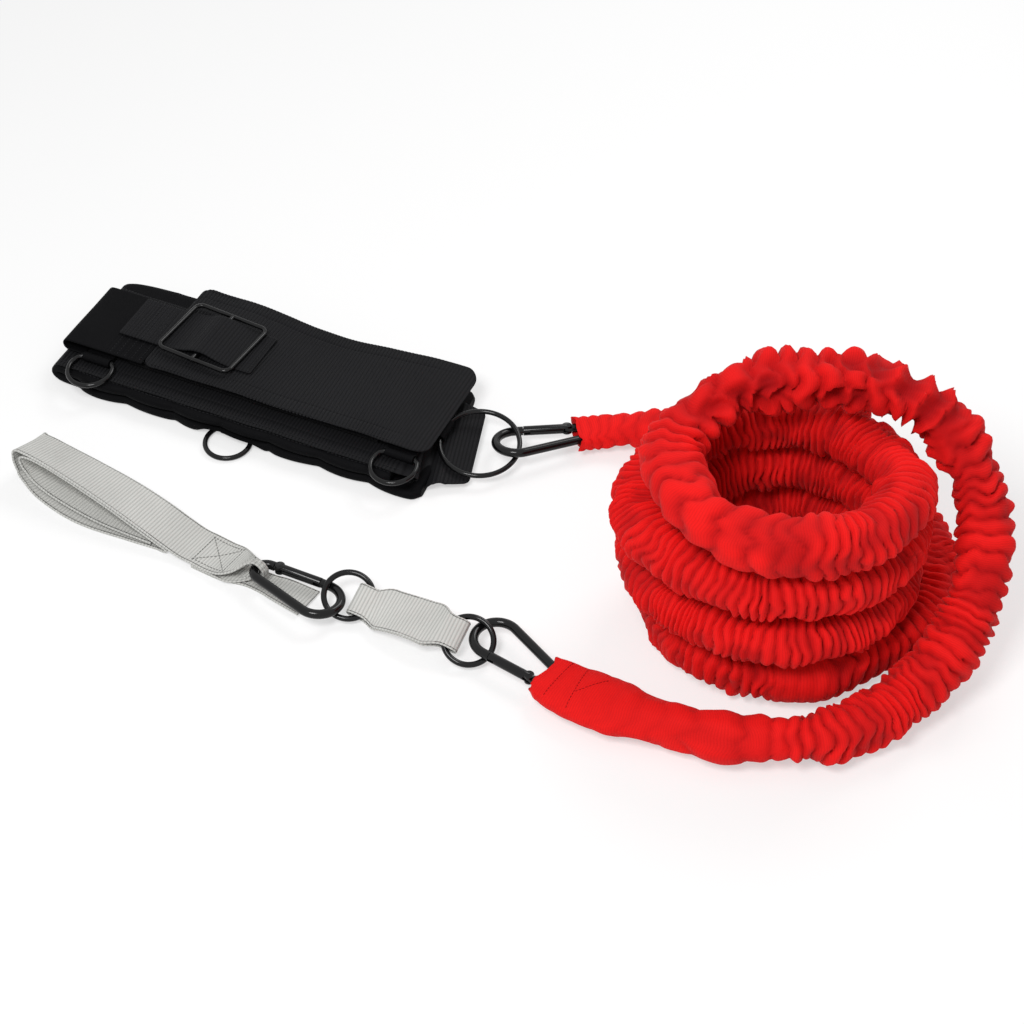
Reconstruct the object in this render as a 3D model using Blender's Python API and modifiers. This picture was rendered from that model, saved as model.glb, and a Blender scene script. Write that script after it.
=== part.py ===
"""Resistance sprint trainer: waist belt, two straps, snap hooks and a cord in a gathered sleeve."""
import math

import bmesh
import bpy
import numpy as np
from mathutils import Euler, Matrix, Vector

mm = 0.001

# Clearances that all pieces share
fit = 0.3 * mm
overrun = 2 * mm
weld = 0.001 * mm

# The footprint's middle in the layout, which becomes the origin
middle_x = -159.55 * mm
middle_y = 94.26 * mm

# Waist belt: its place in the layout, then its pieces from the floor up
belt_x = -205 * mm
belt_y = 185 * mm
belt_turn = math.radians(-24.5)
belt_left = -154 * mm
belt_right = 148 * mm
pad_right = 166 * mm
pad_width = 130 * mm
pad_middle = 13 * mm
pad_thickness = 8.4 * mm
pad_gap = 0.6 * mm
pad_edge = 3 * mm
pad_wave = 2.4 * mm
pad_wave_count = 7
pad_end_trim = 7 * mm
pad_end_share = 0.14
webbing = 1.8 * mm
band_width = 102 * mm
band_middle = 7 * mm
band_end_reach = 40 * mm
band_end_trim = 22 * mm
panel_thickness = 4.4 * mm
panel_width = 66 * mm
panel_middle = 11 * mm
panel_reach = 222 * mm
cover_width = 103 * mm
cover_middle = 24.5 * mm
cover_left = -84 * mm
cover_reach = 248 * mm
cover_drop = 4 * mm
cover_waist = 8 * mm
side_strap_width = 72 * mm
side_strap_middle = 9 * mm
side_strap_return = 16 * mm

# Slide buckle and the strap through it
buckle_length = 70 * mm
buckle_width = 62 * mm
buckle_wire = 3.6 * mm
buckle_corner = 6 * mm
buckle_x = -45 * mm
buckle_y = 19 * mm
buckle_turn = math.radians(-5)
buckle_strap_width = 46 * mm
buckle_strap_left = 34 * mm
buckle_strap_tail = 13 * mm

# Small D rings with their tabs
ring_wire = 4 * mm
ring_radius = 17.8 * mm
ring_bar = 28 * mm
ring_corner = 3 * mm
ring_lean = math.radians(5.5)
tab_webbing = 1.2 * mm
tab_width = 22 * mm
tab_length = 15 * mm
tab_open = math.radians(48)
tab_sides = 8
tab_turn = 8 * mm
left_ring_x = -123 * mm
left_ring_y = -31 * mm
corner_ring_x = 145 * mm
corner_ring_y = -30 * mm
under_ring_x = 6 * mm
under_ring_y = -42 * mm

# Round rings that the snap hooks are clipped to
big_ring_radius = 31 * mm
big_ring_wire = 4 * mm
big_ring_place = (-25.0 * mm, 119.1 * mm, 15.9 * mm)
big_ring_lean = math.radians(9.9)
big_ring_turn = math.radians(-88.9)
end_tab_width = 18 * mm
end_tab_length = 26 * mm
strap_ring_radius = 18 * mm
strap_ring_wire = 4.4 * mm
anchor_ring_place = (-118.7 * mm, -38.6 * mm, 12.9 * mm)
anchor_ring_lean = math.radians(23.1)
anchor_ring_turn = math.radians(-83.6)
sleeve_ring_place = (-31.0 * mm, -83.0 * mm, 13.3 * mm)
sleeve_ring_lean = math.radians(24.9)
sleeve_ring_turn = math.radians(-83.8)

# Snap hooks: a pear-shaped wire, narrow at the eye, wide where a ring rides
hook_wire = 7 * mm
hook_narrow = 9 * mm
hook_wide = 16.5 * mm
hook_reach = 47.5 * mm
gate_width = 7.5 * mm
gate_pivot = 6.5 * mm
latch_reach = 7 * mm
nose_gap = 0.5 * mm
tongue_length = 4.5 * mm
tongue_height = 4.6 * mm
tongue_thickness = 2 * mm
ear_height = 5.6 * mm
ear_thickness = 2.6 * mm
pin_width = 2 * mm
gate_bore = 4.4 * mm
gate_bore_depth = 13 * mm
plunger_length = 4.5 * mm
spring_width = 3.7 * mm
spring_wire = 0.7 * mm
spring_curls = 5
spring_length = 7.4 * mm

# Grey straps
strap_width = 35 * mm
strap_eye_width = 7 * mm
roll_reach = 171 * mm
roll_height = 27 * mm
roll_twist = 0.28
box_near = 24 * mm
box_far = 58 * mm
under_layer_reach = 38 * mm
short_strap_neck = 25 * mm
eye_step = 2.2 * mm
roll_step = 7.5 * mm
pocket_start = 4.6 * mm
pocket_end = 20.5 * mm
short_strap_rise = 2 * mm

# Sleeve and the elastic cord in it
sleeve_peak = 45.4 * mm
sleeve_valley = 39.5 * mm
sleeve_squash_share = 0.88
rib_count = 120
core_width = 12 * mm
core_step = 20.5 * mm
core_end_cover = 15 * mm
tube_step = 12 * mm
cap_step = 0.7 * mm
stack_x = 190 * mm
stack_y = -43 * mm
turn_radius = 80 * mm
turn_rise = 42.8 * mm
floor_turn_height = 20 * mm
lead_width = 36 * mm
sewn_end_width = 38 * mm
sewn_end_height = 13 * mm
tunnel_room = 0.7 * mm
front_sewn_length = 76 * mm
rear_sewn_length = 50 * mm

# Colours, roughness and metallic value of each material
black_metal_look = ((0.010, 0.010, 0.011), 0.32, 0.85)
black_webbing_look = ((0.012, 0.012, 0.014), 0.85, 0.0)
black_pad_look = ((0.008, 0.008, 0.009), 0.9, 0.0)
grey_webbing_look = ((0.42, 0.42, 0.40), 0.85, 0.0)
red_sleeve_look = ((0.78, 0.012, 0.015), 0.7, 0.0)
rubber_look = ((0.55, 0.44, 0.28), 0.6, 0.0)
steel_look = ((0.55, 0.55, 0.55), 0.35, 1.0)


for old in list(bpy.data.objects):
    bpy.data.objects.remove(old, do_unlink=True)

parts = bpy.data.collections.new("resistance_sprint_trainer")
cutters = bpy.data.collections.new("cutters")
bpy.context.scene.collection.children.link(parts)
bpy.context.scene.collection.children.link(cutters)


def look(name, values):
    colour, roughness, metallic = values
    finish = bpy.data.materials.new(name)
    finish.use_nodes = True
    shader = finish.node_tree.nodes["Principled BSDF"]
    shader.inputs["Base Color"].default_value = (*colour, 1)
    shader.inputs["Roughness"].default_value = roughness
    shader.inputs["Metallic"].default_value = metallic
    return finish


def frame(name, parent=None, location=(0, 0, 0), rotation=(0, 0, 0)):
    empty = bpy.data.objects.new(name, None)
    parts.objects.link(empty)
    empty.parent = parent
    empty.location = location
    empty.rotation_euler = rotation
    return empty


def piece(name, mesh, values, parent, location=(0, 0, 0), rotation=(0, 0, 0)):
    item = bpy.data.objects.new(name, mesh)
    parts.objects.link(item)
    item.parent = parent
    item.location = location
    item.rotation_euler = rotation
    mesh.materials.clear()
    mesh.materials.append(look(name + "_look", values))
    return item


def carve(item, mesh, operation="DIFFERENCE"):
    """Cut a mesh given in the item's own space out of it, or join it on."""
    tool = bpy.data.objects.new(item.name + "_cutter", mesh)
    cutters.objects.link(tool)
    tool.parent = item.parent
    tool.location = item.location
    tool.rotation_euler = item.rotation_euler
    tool.display_type = "WIRE"
    tool.hide_render = True
    step = item.modifiers.new(operation.title(), "BOOLEAN")
    step.operation = operation
    step.object = tool


# Shapes

def closed_mesh(shape, name):
    bmesh.ops.remove_doubles(shape, verts=shape.verts, dist=weld)
    bmesh.ops.recalc_face_normals(shape, faces=shape.faces)
    mesh = bpy.data.meshes.new(name)
    shape.to_mesh(mesh)
    shape.free()
    return mesh


def swept_mesh(points, radii, resolution=2, loop=False):
    """A tube along points, as a bevelled curve made a mesh with its caps welded."""
    curve = bpy.data.curves.new("tube", "CURVE")
    curve.dimensions = "3D"
    curve.bevel_depth = 1
    curve.bevel_resolution = resolution
    curve.use_fill_caps = not loop
    spline = curve.splines.new("POLY")
    spline.points.add(len(points) - 1)
    spline.use_cyclic_u = loop
    if not hasattr(radii, "__len__"):
        radii = [radii] * len(points)
    for knot, point, radius in zip(spline.points, points, radii):
        knot.co = (*point, 1)
        knot.radius = radius
    guide = bpy.data.objects.new("tube", curve)
    bpy.context.scene.collection.objects.link(guide)
    bpy.context.view_layer.update()
    evaluated = guide.evaluated_get(bpy.context.evaluated_depsgraph_get())
    mesh = bpy.data.meshes.new_from_object(evaluated)
    bpy.data.objects.remove(guide)
    shape = bmesh.new()
    shape.from_mesh(mesh)
    bpy.data.meshes.remove(mesh)
    mesh = closed_mesh(shape, "tube")
    mesh.shade_smooth()
    mesh.set_sharp_from_angle(angle=math.radians(50))
    return mesh


def rod_mesh(start, end, radius, sides=16):
    start, end = Vector(start), Vector(end)
    along = end - start
    turn = along.to_track_quat("Z", "Y").to_matrix().to_4x4()
    shape = bmesh.new()
    place = Matrix.Translation((start + end) / 2) @ turn
    bmesh.ops.create_cone(shape, cap_ends=True, segments=sides, radius1=radius, radius2=radius,
                          depth=along.length, matrix=place)
    return closed_mesh(shape, "rod")


def box_mesh(low, high, turn=None):
    low, high = Vector(low), Vector(high)
    size = high - low
    shape = bmesh.new()
    place = Matrix.Translation((low + high) / 2) @ Matrix.Diagonal((*size, 1))
    bmesh.ops.create_cube(shape, size=1, matrix=(turn or Matrix()) @ place)
    return closed_mesh(shape, "box")


def strip(name, middles, acrosses, widths, thickness, values, parent, loop=False):
    """A band of webbing: an open strip along the middles, thickened by Solidify."""
    shape = bmesh.new()
    rows = []
    for middle, across, width in zip(middles, acrosses, widths):
        side = Vector(across).normalized() * width / 2
        rows.append([shape.verts.new(Vector(middle) - side), shape.verts.new(Vector(middle) + side)])
    count = len(rows)
    for i in range(count if loop else count - 1):
        near, far = rows[i], rows[(i + 1) % count]
        shape.faces.new((near[0], far[0], far[1], near[1]))
    mesh = bpy.data.meshes.new(name)
    shape.to_mesh(mesh)
    shape.free()
    item = piece(name, mesh, values, parent)
    shell = item.modifiers.new("Webbing", "SOLIDIFY")
    shell.thickness = thickness
    shell.offset = 0
    shell.use_even_offset = True
    return item


def smooth(points, step):
    """Points at equal steps along the centripetal Catmull-Rom curve through the given points."""
    knots = [np.array(p, float) for p in points]
    knots = [2 * knots[0] - knots[1]] + knots + [2 * knots[-1] - knots[-2]]
    fine = []
    for i in range(1, len(knots) - 2):
        p0, p1, p2, p3 = knots[i - 1:i + 3]
        t1 = np.linalg.norm(p1 - p0) ** 0.5
        t2 = t1 + np.linalg.norm(p2 - p1) ** 0.5
        t3 = t2 + np.linalg.norm(p3 - p2) ** 0.5
        for k in range(12):
            t = t1 + (t2 - t1) * k / 12
            a1 = p0 + (p1 - p0) * t / t1
            a2 = p1 + (p2 - p1) * (t - t1) / (t2 - t1)
            a3 = p2 + (p3 - p2) * (t - t2) / (t3 - t2)
            b1 = a1 + (a2 - a1) * t / t2
            b2 = a2 + (a3 - a2) * (t - t1) / (t3 - t1)
            fine.append(b1 + (b2 - b1) * (t - t1) / (t2 - t1))
    fine.append(knots[-2])
    fine = np.array(fine)
    run = np.concatenate([[0], np.cumsum(np.linalg.norm(np.diff(fine, axis=0), axis=1))])
    stations = np.linspace(0, run[-1], max(2, round(run[-1] / step) + 1))
    return np.stack([np.interp(stations, run, fine[:, k]) for k in range(fine.shape[1])], axis=1)


def ring_frame(lean, turn):
    """A ring's axis and two directions in its plane, the first one level."""
    axis = Vector((math.sin(lean) * math.cos(turn), math.sin(lean) * math.sin(turn), math.cos(lean)))
    level = axis.cross(Vector((0, 0, 1))).normalized()
    return axis, level, axis.cross(level)


trainer = frame("trainer", None, (-middle_x, -middle_y, 0))
belt = frame("belt", trainer, (belt_x, belt_y, 10 * weld), (0, 0, belt_turn))


# Belt

def belt_strip(name, path, middle, width, thickness, values, trims=None):
    """A band of the belt: its side view as (along, height) points, and what its two edges lose."""
    trims = trims or [(0, 0)] * len(path)
    middles = [(u, middle + (front - back) / 2, z) for (u, z), (front, back) in zip(path, trims)]
    widths = [width - front - back for front, back in trims]
    return strip(name, middles, [(0, 1, 0)] * len(path), widths, thickness, values, belt)


pad_fold = (pad_thickness + pad_gap) / 2
pad_top = 2 * pad_thickness + pad_gap
band_height = pad_top + fit + webbing / 2
inner_floor = band_height + webbing / 2 + fit
panel_rise = panel_thickness + fit
cover_height = inner_floor + 2 * panel_rise + webbing / 2
strap_height = cover_height + webbing + fit


def build_pad():
    steps = 6
    lower = pad_thickness / 2
    path = [(pad_right + (belt_left - pad_right) * k / 18, lower) for k in range(18)]
    for k in range(steps + 1):
        a = math.pi * k / steps
        path.append((belt_left - pad_fold * math.sin(a), lower + pad_fold * (1 - math.cos(a))))
    path += [(belt_left + (belt_right - belt_left) * k / 18, lower + 2 * pad_fold) for k in range(1, 19)]
    trims = []
    for u, z in path:
        share = (u - belt_left) / (belt_right - belt_left)
        wave = pad_wave * (1 - math.cos(2 * math.pi * pad_wave_count * share)) / 2
        end = pad_end_trim * max(0, 1 - max(0, share) / pad_end_share) ** 2
        trims.append((wave + end, end))
    pad = belt_strip("belt_pad", path, pad_middle, pad_width, pad_thickness, black_pad_look, trims)
    pad.data.shade_smooth()
    round_off = pad.modifiers.new("Edge", "BEVEL")
    round_off.width = pad_edge
    round_off.segments = 2
    round_off.limit_method = "ANGLE"
    round_off.angle_limit = math.radians(50)
    room = ring_radius + ring_wire
    pocket_height = 2 * tab_reach(ring_wire / 2, 0) + fit
    front = under_ring_y - ring_radius - room
    back = under_ring_y + tab_length + overrun
    carve(pad, box_mesh((under_ring_x - room, front, -overrun), (under_ring_x + room, back, pocket_height)))


def tab_inner(wire_radius, sag):
    return wire_radius + sag / 2 + fit


def tab_loop(wire_radius, sag):
    """The corners' radius of a tab's loop, which is a polygon, so that its flats clear the wire."""
    return (tab_inner(wire_radius, sag) + tab_webbing / 2) / math.cos((math.pi - tab_open) / tab_sides)


def tab_reach(wire_radius, sag):
    return tab_loop(wire_radius, sag) + tab_webbing / 2 / math.cos((math.pi - tab_open) / tab_sides)


def tab_strip(name, place, along, back, wire_radius, sag, rises, width, values, parent):
    """A webbing loop round a ring's bar at place, its two layers running back and rising as given."""
    place, along, back = Vector(place), Vector(along).normalized(), Vector(back).normalized()
    up = along.cross(back)
    if up.z < 0:
        up = -up
    loop = tab_loop(wire_radius, sag)
    half = (tab_webbing + fit) / 2
    side = [(d, rise - half) for d, rise in reversed(rises)]
    for k in range(tab_sides + 1):
        a = -tab_open - (2 * math.pi - 2 * tab_open) * k / tab_sides
        side.append((loop * math.cos(a), loop * math.sin(a)))
    side += [(d, rise + half) for d, rise in rises]
    middles = [place + back * d + up * h for d, h in side]
    flat = Vector((along.x, along.y, 0)).normalized()
    acrosses = [along.lerp(flat, max(0, min(1, d / tab_turn))) for d, h in side]
    return strip(name, middles, acrosses, [width] * len(side), tab_webbing, values, parent)


def d_ring_points():
    """A round ring cut off flat by its bar, in its own plane: bar at the origin, ring toward -Y."""
    below = math.sqrt(ring_radius ** 2 - (ring_bar / 2) ** 2)
    start = math.asin(below / ring_radius)
    corner = Vector((ring_bar / 2, 0, 0))
    points = [corner + Vector((-ring_corner, 0, 0)), corner + Vector((-ring_corner / 4, -ring_corner / 5, 0))]
    sweep = math.pi + 2 * start
    first = ring_corner / ring_radius
    for k in range(17):
        a = start - first - (sweep - 2 * first) * k / 16
        points.append(Vector((ring_radius * math.cos(a), ring_radius * math.sin(a) - below, 0)))
    points += [Vector((-p.x, p.y, 0)) for p in (points[1], points[0])]
    return points


def build_d_ring(name, x, y, z, lean, middle_rise):
    """A D ring that hangs forward from its bar, and its tab."""
    mesh = swept_mesh(d_ring_points(), ring_wire / 2, 2, True)
    piece(name + "_ring", mesh, black_metal_look, belt, (x, y, z), (lean, 0, 0))
    rises = [(ring_wire, middle_rise / 2), (tab_length / 2, middle_rise), (tab_length, middle_rise)]
    tab_strip(name + "_tab", (x, y, z), (1, 0, 0), (0, 1, 0), ring_wire / 2, 0, rises, tab_width,
              black_webbing_look, belt)


def build_belt():
    build_pad()
    low = pad_thickness + fit + webbing / 2
    band_path = [(belt_left + fit, band_height), (belt_right + fit, band_height)]
    for along_share, drop_share in ((0.06, 0.97), (0.12, 0.8), (0.17, 0.5), (0.22, 0.2), (0.28, 0.04),
                                    (0.36, 0.0), (0.52, 0.0), (0.62, -0.06), (0.8, -0.17), (1.0, -0.26)):
        band_path.append((belt_right + band_end_reach * along_share, low + (band_height - low) * drop_share))
    trims = [(band_end_trim * max(0, (u - belt_right) / band_end_reach), 0) for u, z in band_path]
    belt_strip("belt_band", band_path, band_middle, band_width, webbing, black_webbing_look, trims)
    panel_left = cover_left - side_strap_return
    for index, name in enumerate(("loop_panel", "hook_panel")):
        low = inner_floor + index * panel_rise
        left = panel_left + index * fit
        low_corner = (left, panel_middle - panel_width / 2, low)
        high_corner = (left + panel_reach, panel_middle + panel_width / 2, low + panel_thickness)
        piece(name, box_mesh(low_corner, high_corner), black_webbing_look, belt)
    cover_right = cover_left + cover_reach
    flat = cover_reach - 4 * cover_drop
    cover_path = [(cover_left + flat * k / 12, cover_height) for k in range(13)]
    cover_path += [(cover_right - 2 * cover_drop, cover_height - cover_drop / 8),
                   (cover_right - cover_drop, cover_height - cover_drop / 2),
                   (cover_right, cover_height - cover_drop)]
    trims = []
    for u, z in cover_path:
        share = max(0, min(1, (u - cover_left) / flat * 1.25 - 0.2))
        trims.append((0, cover_waist * math.sin(math.pi * share) ** 2))
    belt_strip("belt_cover_webbing", cover_path, cover_middle, cover_width, webbing, black_webbing_look,
               trims)
    strap_fold = (cover_height - inner_floor - webbing / 2) / 2
    side_path = [(belt_left + side_strap_return, inner_floor + webbing / 2)]
    for k in range(9):
        a = math.pi * k / 8
        side_path.append((belt_left - strap_fold * math.sin(a) + strap_fold / 2,
                          inner_floor + webbing / 2 + strap_fold * (1 - math.cos(a))))
    side_path.append((cover_left - fit, cover_height))
    belt_strip("side_strap", side_path, side_strap_middle, side_strap_width, webbing, black_webbing_look)
    tab_height = inner_floor + tab_reach(ring_wire / 2, 0)
    build_d_ring("left", left_ring_x, left_ring_y, tab_height, ring_lean, 0)
    build_d_ring("corner", corner_ring_x, corner_ring_y, tab_height, ring_lean, 0)
    floor_tab = tab_reach(ring_wire / 2, 0) + weld
    drop = math.asin((floor_tab - ring_wire / 2) / (ring_radius + ring_bar / 2))
    build_d_ring("under", under_ring_x, under_ring_y, floor_tab, drop, 0)


def build_buckle():
    """The wire frame, its centre bar, and the strap over the bar and under the two ends."""
    bar_height = strap_height + webbing / 2 + fit + buckle_wire / 2
    half_length, half_width = (buckle_length - buckle_wire) / 2, (buckle_width - buckle_wire) / 2
    points = []
    for sx, sy, first in ((1, 1, 0), (-1, 1, 1), (-1, -1, 2), (1, -1, 3)):
        for k in range(4):
            a = math.pi / 2 * (first + k / 3)
            points.append((sx * (half_length - buckle_corner) + buckle_corner * math.cos(a),
                           sy * (half_width - buckle_corner) + buckle_corner * math.sin(a), 0))
    mesh = swept_mesh(points, buckle_wire / 2, 2, True)
    buckle = piece("slide_buckle", mesh, black_metal_look, belt, (buckle_x, buckle_y, bar_height),
                   (0, 0, buckle_turn))
    bar = rod_mesh((0, -half_width, 0), (0, half_width, 0), buckle_wire / 2 * math.cos(math.pi / 8), 8)
    carve(buckle, bar, "UNION")
    rise = buckle_wire + webbing + 2 * fit
    left = cover_left - buckle_strap_left
    path = [(left, strap_height), (buckle_x - half_length, strap_height)]
    for along_share, rise_share in ((-0.72, 0.1), (-0.4, 0.5), (-0.2, 0.88), (-0.08, 1.0), (0.08, 1.0),
                                    (0.2, 0.88), (0.4, 0.5), (0.72, 0.1), (1.0, 0.0)):
        path.append((buckle_x + half_length * along_share, strap_height + rise * rise_share))
    path.append((buckle_x + half_length + buckle_strap_tail, strap_height))
    belt_strip("buckle_strap", path, buckle_y, buckle_strap_width, webbing, black_webbing_look)


def build_round_ring(name, place, lean, turn, radius, wire):
    """A round ring whose origin is its middle and whose local Z is its axis."""
    angles = [2 * math.pi * k / 24 for k in range(24)]
    points = [(radius * math.cos(a), radius * math.sin(a), 0) for a in angles]
    mesh = swept_mesh(points, wire / 2, 2, True)
    item = piece(name, mesh, black_metal_look, trainer, place)
    axis, level, up = ring_frame(lean, turn)
    item.rotation_euler = Matrix((level, up, axis)).transposed().to_euler()
    return item


def build_big_ring():
    build_round_ring("big_ring", big_ring_place, big_ring_lean, big_ring_turn, big_ring_radius, big_ring_wire)
    axis, level, up = ring_frame(big_ring_lean, big_ring_turn)
    inward = Vector((-math.cos(belt_turn), -math.sin(belt_turn), 0))
    inward = (inward - axis * inward.dot(axis)).normalized()
    sag = big_ring_radius - math.sqrt(big_ring_radius ** 2 - (end_tab_width / 2) ** 2)
    place = Vector(big_ring_place) + inward * (big_ring_radius - sag / 2)
    level_back = Vector((inward.x, inward.y, 0)).normalized()
    lift = inner_floor + tab_webbing + fit - place.z
    shares = ((0.2, 0.55), (0.36, 0.98), (0.5, 1.05), (0.7, 1.05), (1.0, 1.05))
    rises = [(end_tab_length * d, lift * rise) for d, rise in shares]
    tab_strip("end_tab", place, axis.cross(inward), level_back, big_ring_wire / 2, sag + fit, rises,
              end_tab_width, black_webbing_look, trainer)


# Snap hooks: origin in the middle of the wide arc, eye toward -X, gate on +Y

hook_taper = math.asin((hook_wide - hook_narrow) / hook_reach)
gate_line = math.sqrt(hook_reach ** 2 - (hook_wide - hook_narrow) ** 2)
gate_out = Vector((-math.sin(hook_taper), math.cos(hook_taper), 0))
gate_along = Vector((math.cos(hook_taper), math.sin(hook_taper), 0))
gate_start = Vector((-hook_reach, 0, 0)) + gate_out * hook_narrow
gate_end = hook_reach - latch_reach
wire_end = gate_pivot - gate_width / 2 - fit
nose = gate_end + nose_gap
pivot = gate_start + gate_along * gate_pivot


def gate_point(along, out=0, up=0):
    return gate_start + gate_along * along + gate_out * out + Vector((0, 0, up))


def eye_arc(first, last, count):
    middle = Vector((-hook_reach, 0, 0))
    return [middle + hook_narrow * Vector((math.cos(a), math.sin(a), 0))
            for a in [first + (last - first) * k / count for k in range(count + 1)]]


def hook_points():
    points = [gate_point(wire_end)]
    points += eye_arc(math.pi / 2 + hook_taper, 3 * math.pi / 2 - hook_taper, 8)
    for k in range(13):
        a = -math.pi / 2 - hook_taper + (math.pi + 2 * hook_taper) * k / 12
        points.append(hook_wide * Vector((math.cos(a), math.sin(a), 0)))
    points.append(gate_point(nose))
    return points


def gate_box(low, high):
    """A box with its sides along the gate, given from the pin's axis."""
    return box_mesh(low, high, Matrix.Rotation(hook_taper, 4, "Z"))


def shifted(mesh, offset):
    mesh.transform(Matrix.Translation(offset))
    return mesh


def build_hook(name, place, heading, pitch, roll):
    hook = frame(name, trainer, place, (roll, pitch, heading))
    body = piece(name + "_body", swept_mesh(hook_points(), hook_wire / 2, 2), black_metal_look, hook)
    ear = gate_box((wire_end - gate_pivot - overrun, -ear_height / 2, -ear_thickness / 2),
                   (0, ear_height / 2, ear_thickness / 2))
    carve(body, shifted(ear, pivot), "UNION")
    up = Vector((0, 0, 1))
    half_ear = up * ear_thickness / 2
    carve(body, rod_mesh(pivot - half_ear, pivot + half_ear, ear_height / 2), "UNION")
    tongue = gate_box((gate_end - gate_pivot - tongue_length, -tongue_height / 2, -tongue_thickness / 2),
                      (nose - gate_pivot + overrun, tongue_height / 2, tongue_thickness / 2))
    carve(body, shifted(tongue, pivot), "UNION")
    pin_hole = (pin_width / 2 + fit) / math.cos(math.pi / 12)
    carve(body, rod_mesh(pivot - up * hook_wire, pivot + up * hook_wire, pin_hole, 12))

    turn = Matrix.Rotation(hook_taper, 4, "Z")
    along = turn @ Vector((1, 0, 0))
    gate = piece(name + "_gate", rod_mesh((0, 0, 0), along * (gate_end - gate_pivot), gate_width / 2),
                 black_metal_look, hook, pivot)
    knuckle = gate_width / 2 * math.cos(math.pi / 16)
    carve(gate, rod_mesh(-up * knuckle * 0.9, up * knuckle * 0.9, knuckle), "UNION")
    slot = ear_thickness / 2 + fit
    slot_end = ear_height / 2 + 2 * fit
    carve(gate, gate_box((-gate_width, -gate_width, -slot), (slot_end, gate_width, slot)))
    latch = tongue_thickness / 2 + fit
    latch_start = gate_end - gate_pivot - tongue_length - 2 * fit
    carve(gate, gate_box((latch_start, -gate_width, -latch), (gate_end, gate_width, latch)))
    carve(gate, rod_mesh(-up * gate_width, up * gate_width, pin_hole, 12))
    bore_end = slot_end + gate_bore_depth
    carve(gate, rod_mesh(along * (slot_end - overrun), along * bore_end, gate_bore / 2, 12))
    pin = rod_mesh(-up * knuckle * 0.9, up * knuckle * 0.9, pin_width / 2, 12)
    piece(name + "_pin", pin, steel_look, hook, pivot)
    plunger_start = ear_height / 2 + fit
    plunger_radius = gate_bore / 2 * math.cos(math.pi / 12) - fit
    plunger = rod_mesh(along * plunger_start, along * (plunger_start + plunger_length), plunger_radius, 12)
    piece(name + "_plunger", plunger, steel_look, hook, pivot)
    coil = []
    coil_start = plunger_start + plunger_length + fit + spring_wire / 2
    coil_radius = (spring_width - spring_wire) / 2
    for k in range(spring_curls * 8 + 1):
        a = math.pi / 4 * k
        side = turn @ Vector((0, math.cos(a), math.sin(a))) * coil_radius
        coil.append(along * (coil_start + spring_length * k / (spring_curls * 8)) + side)
    piece(name + "_spring", swept_mesh(coil, spring_wire / 2, 1), steel_look, hook, pivot)
    return hook


belt_hook_place = (4.0 * mm, 120.9 * mm, 15.5 * mm)
belt_hook_heading = math.radians(194)
belt_hook_pitch = math.radians(-2.5)
belt_hook_roll = math.radians(192.5)
anchor_hook_place = (-140.4 * mm, -42.7 * mm, 13.5 * mm)
anchor_hook_heading = math.radians(-33.5)
anchor_hook_pitch = math.radians(0.4)
anchor_hook_roll = math.radians(-6.6)
sleeve_hook_place = (-11.0 * mm, -81.4 * mm, 13.2 * mm)
sleeve_hook_heading = math.radians(135)
sleeve_hook_pitch = math.radians(0.9)
sleeve_hook_roll = math.radians(0.5)


def hook_matrix(place, heading, pitch, roll):
    return Matrix.Translation(place) @ Euler((roll, pitch, heading)).to_matrix().to_4x4()


belt_hook = hook_matrix(belt_hook_place, belt_hook_heading, belt_hook_pitch, belt_hook_roll)
anchor_hook = hook_matrix(anchor_hook_place, anchor_hook_heading, anchor_hook_pitch, anchor_hook_roll)
sleeve_hook = hook_matrix(sleeve_hook_place, sleeve_hook_heading, sleeve_hook_pitch, sleeve_hook_roll)
eye = Vector((-hook_reach, 0, 0))


# Grey straps

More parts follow.
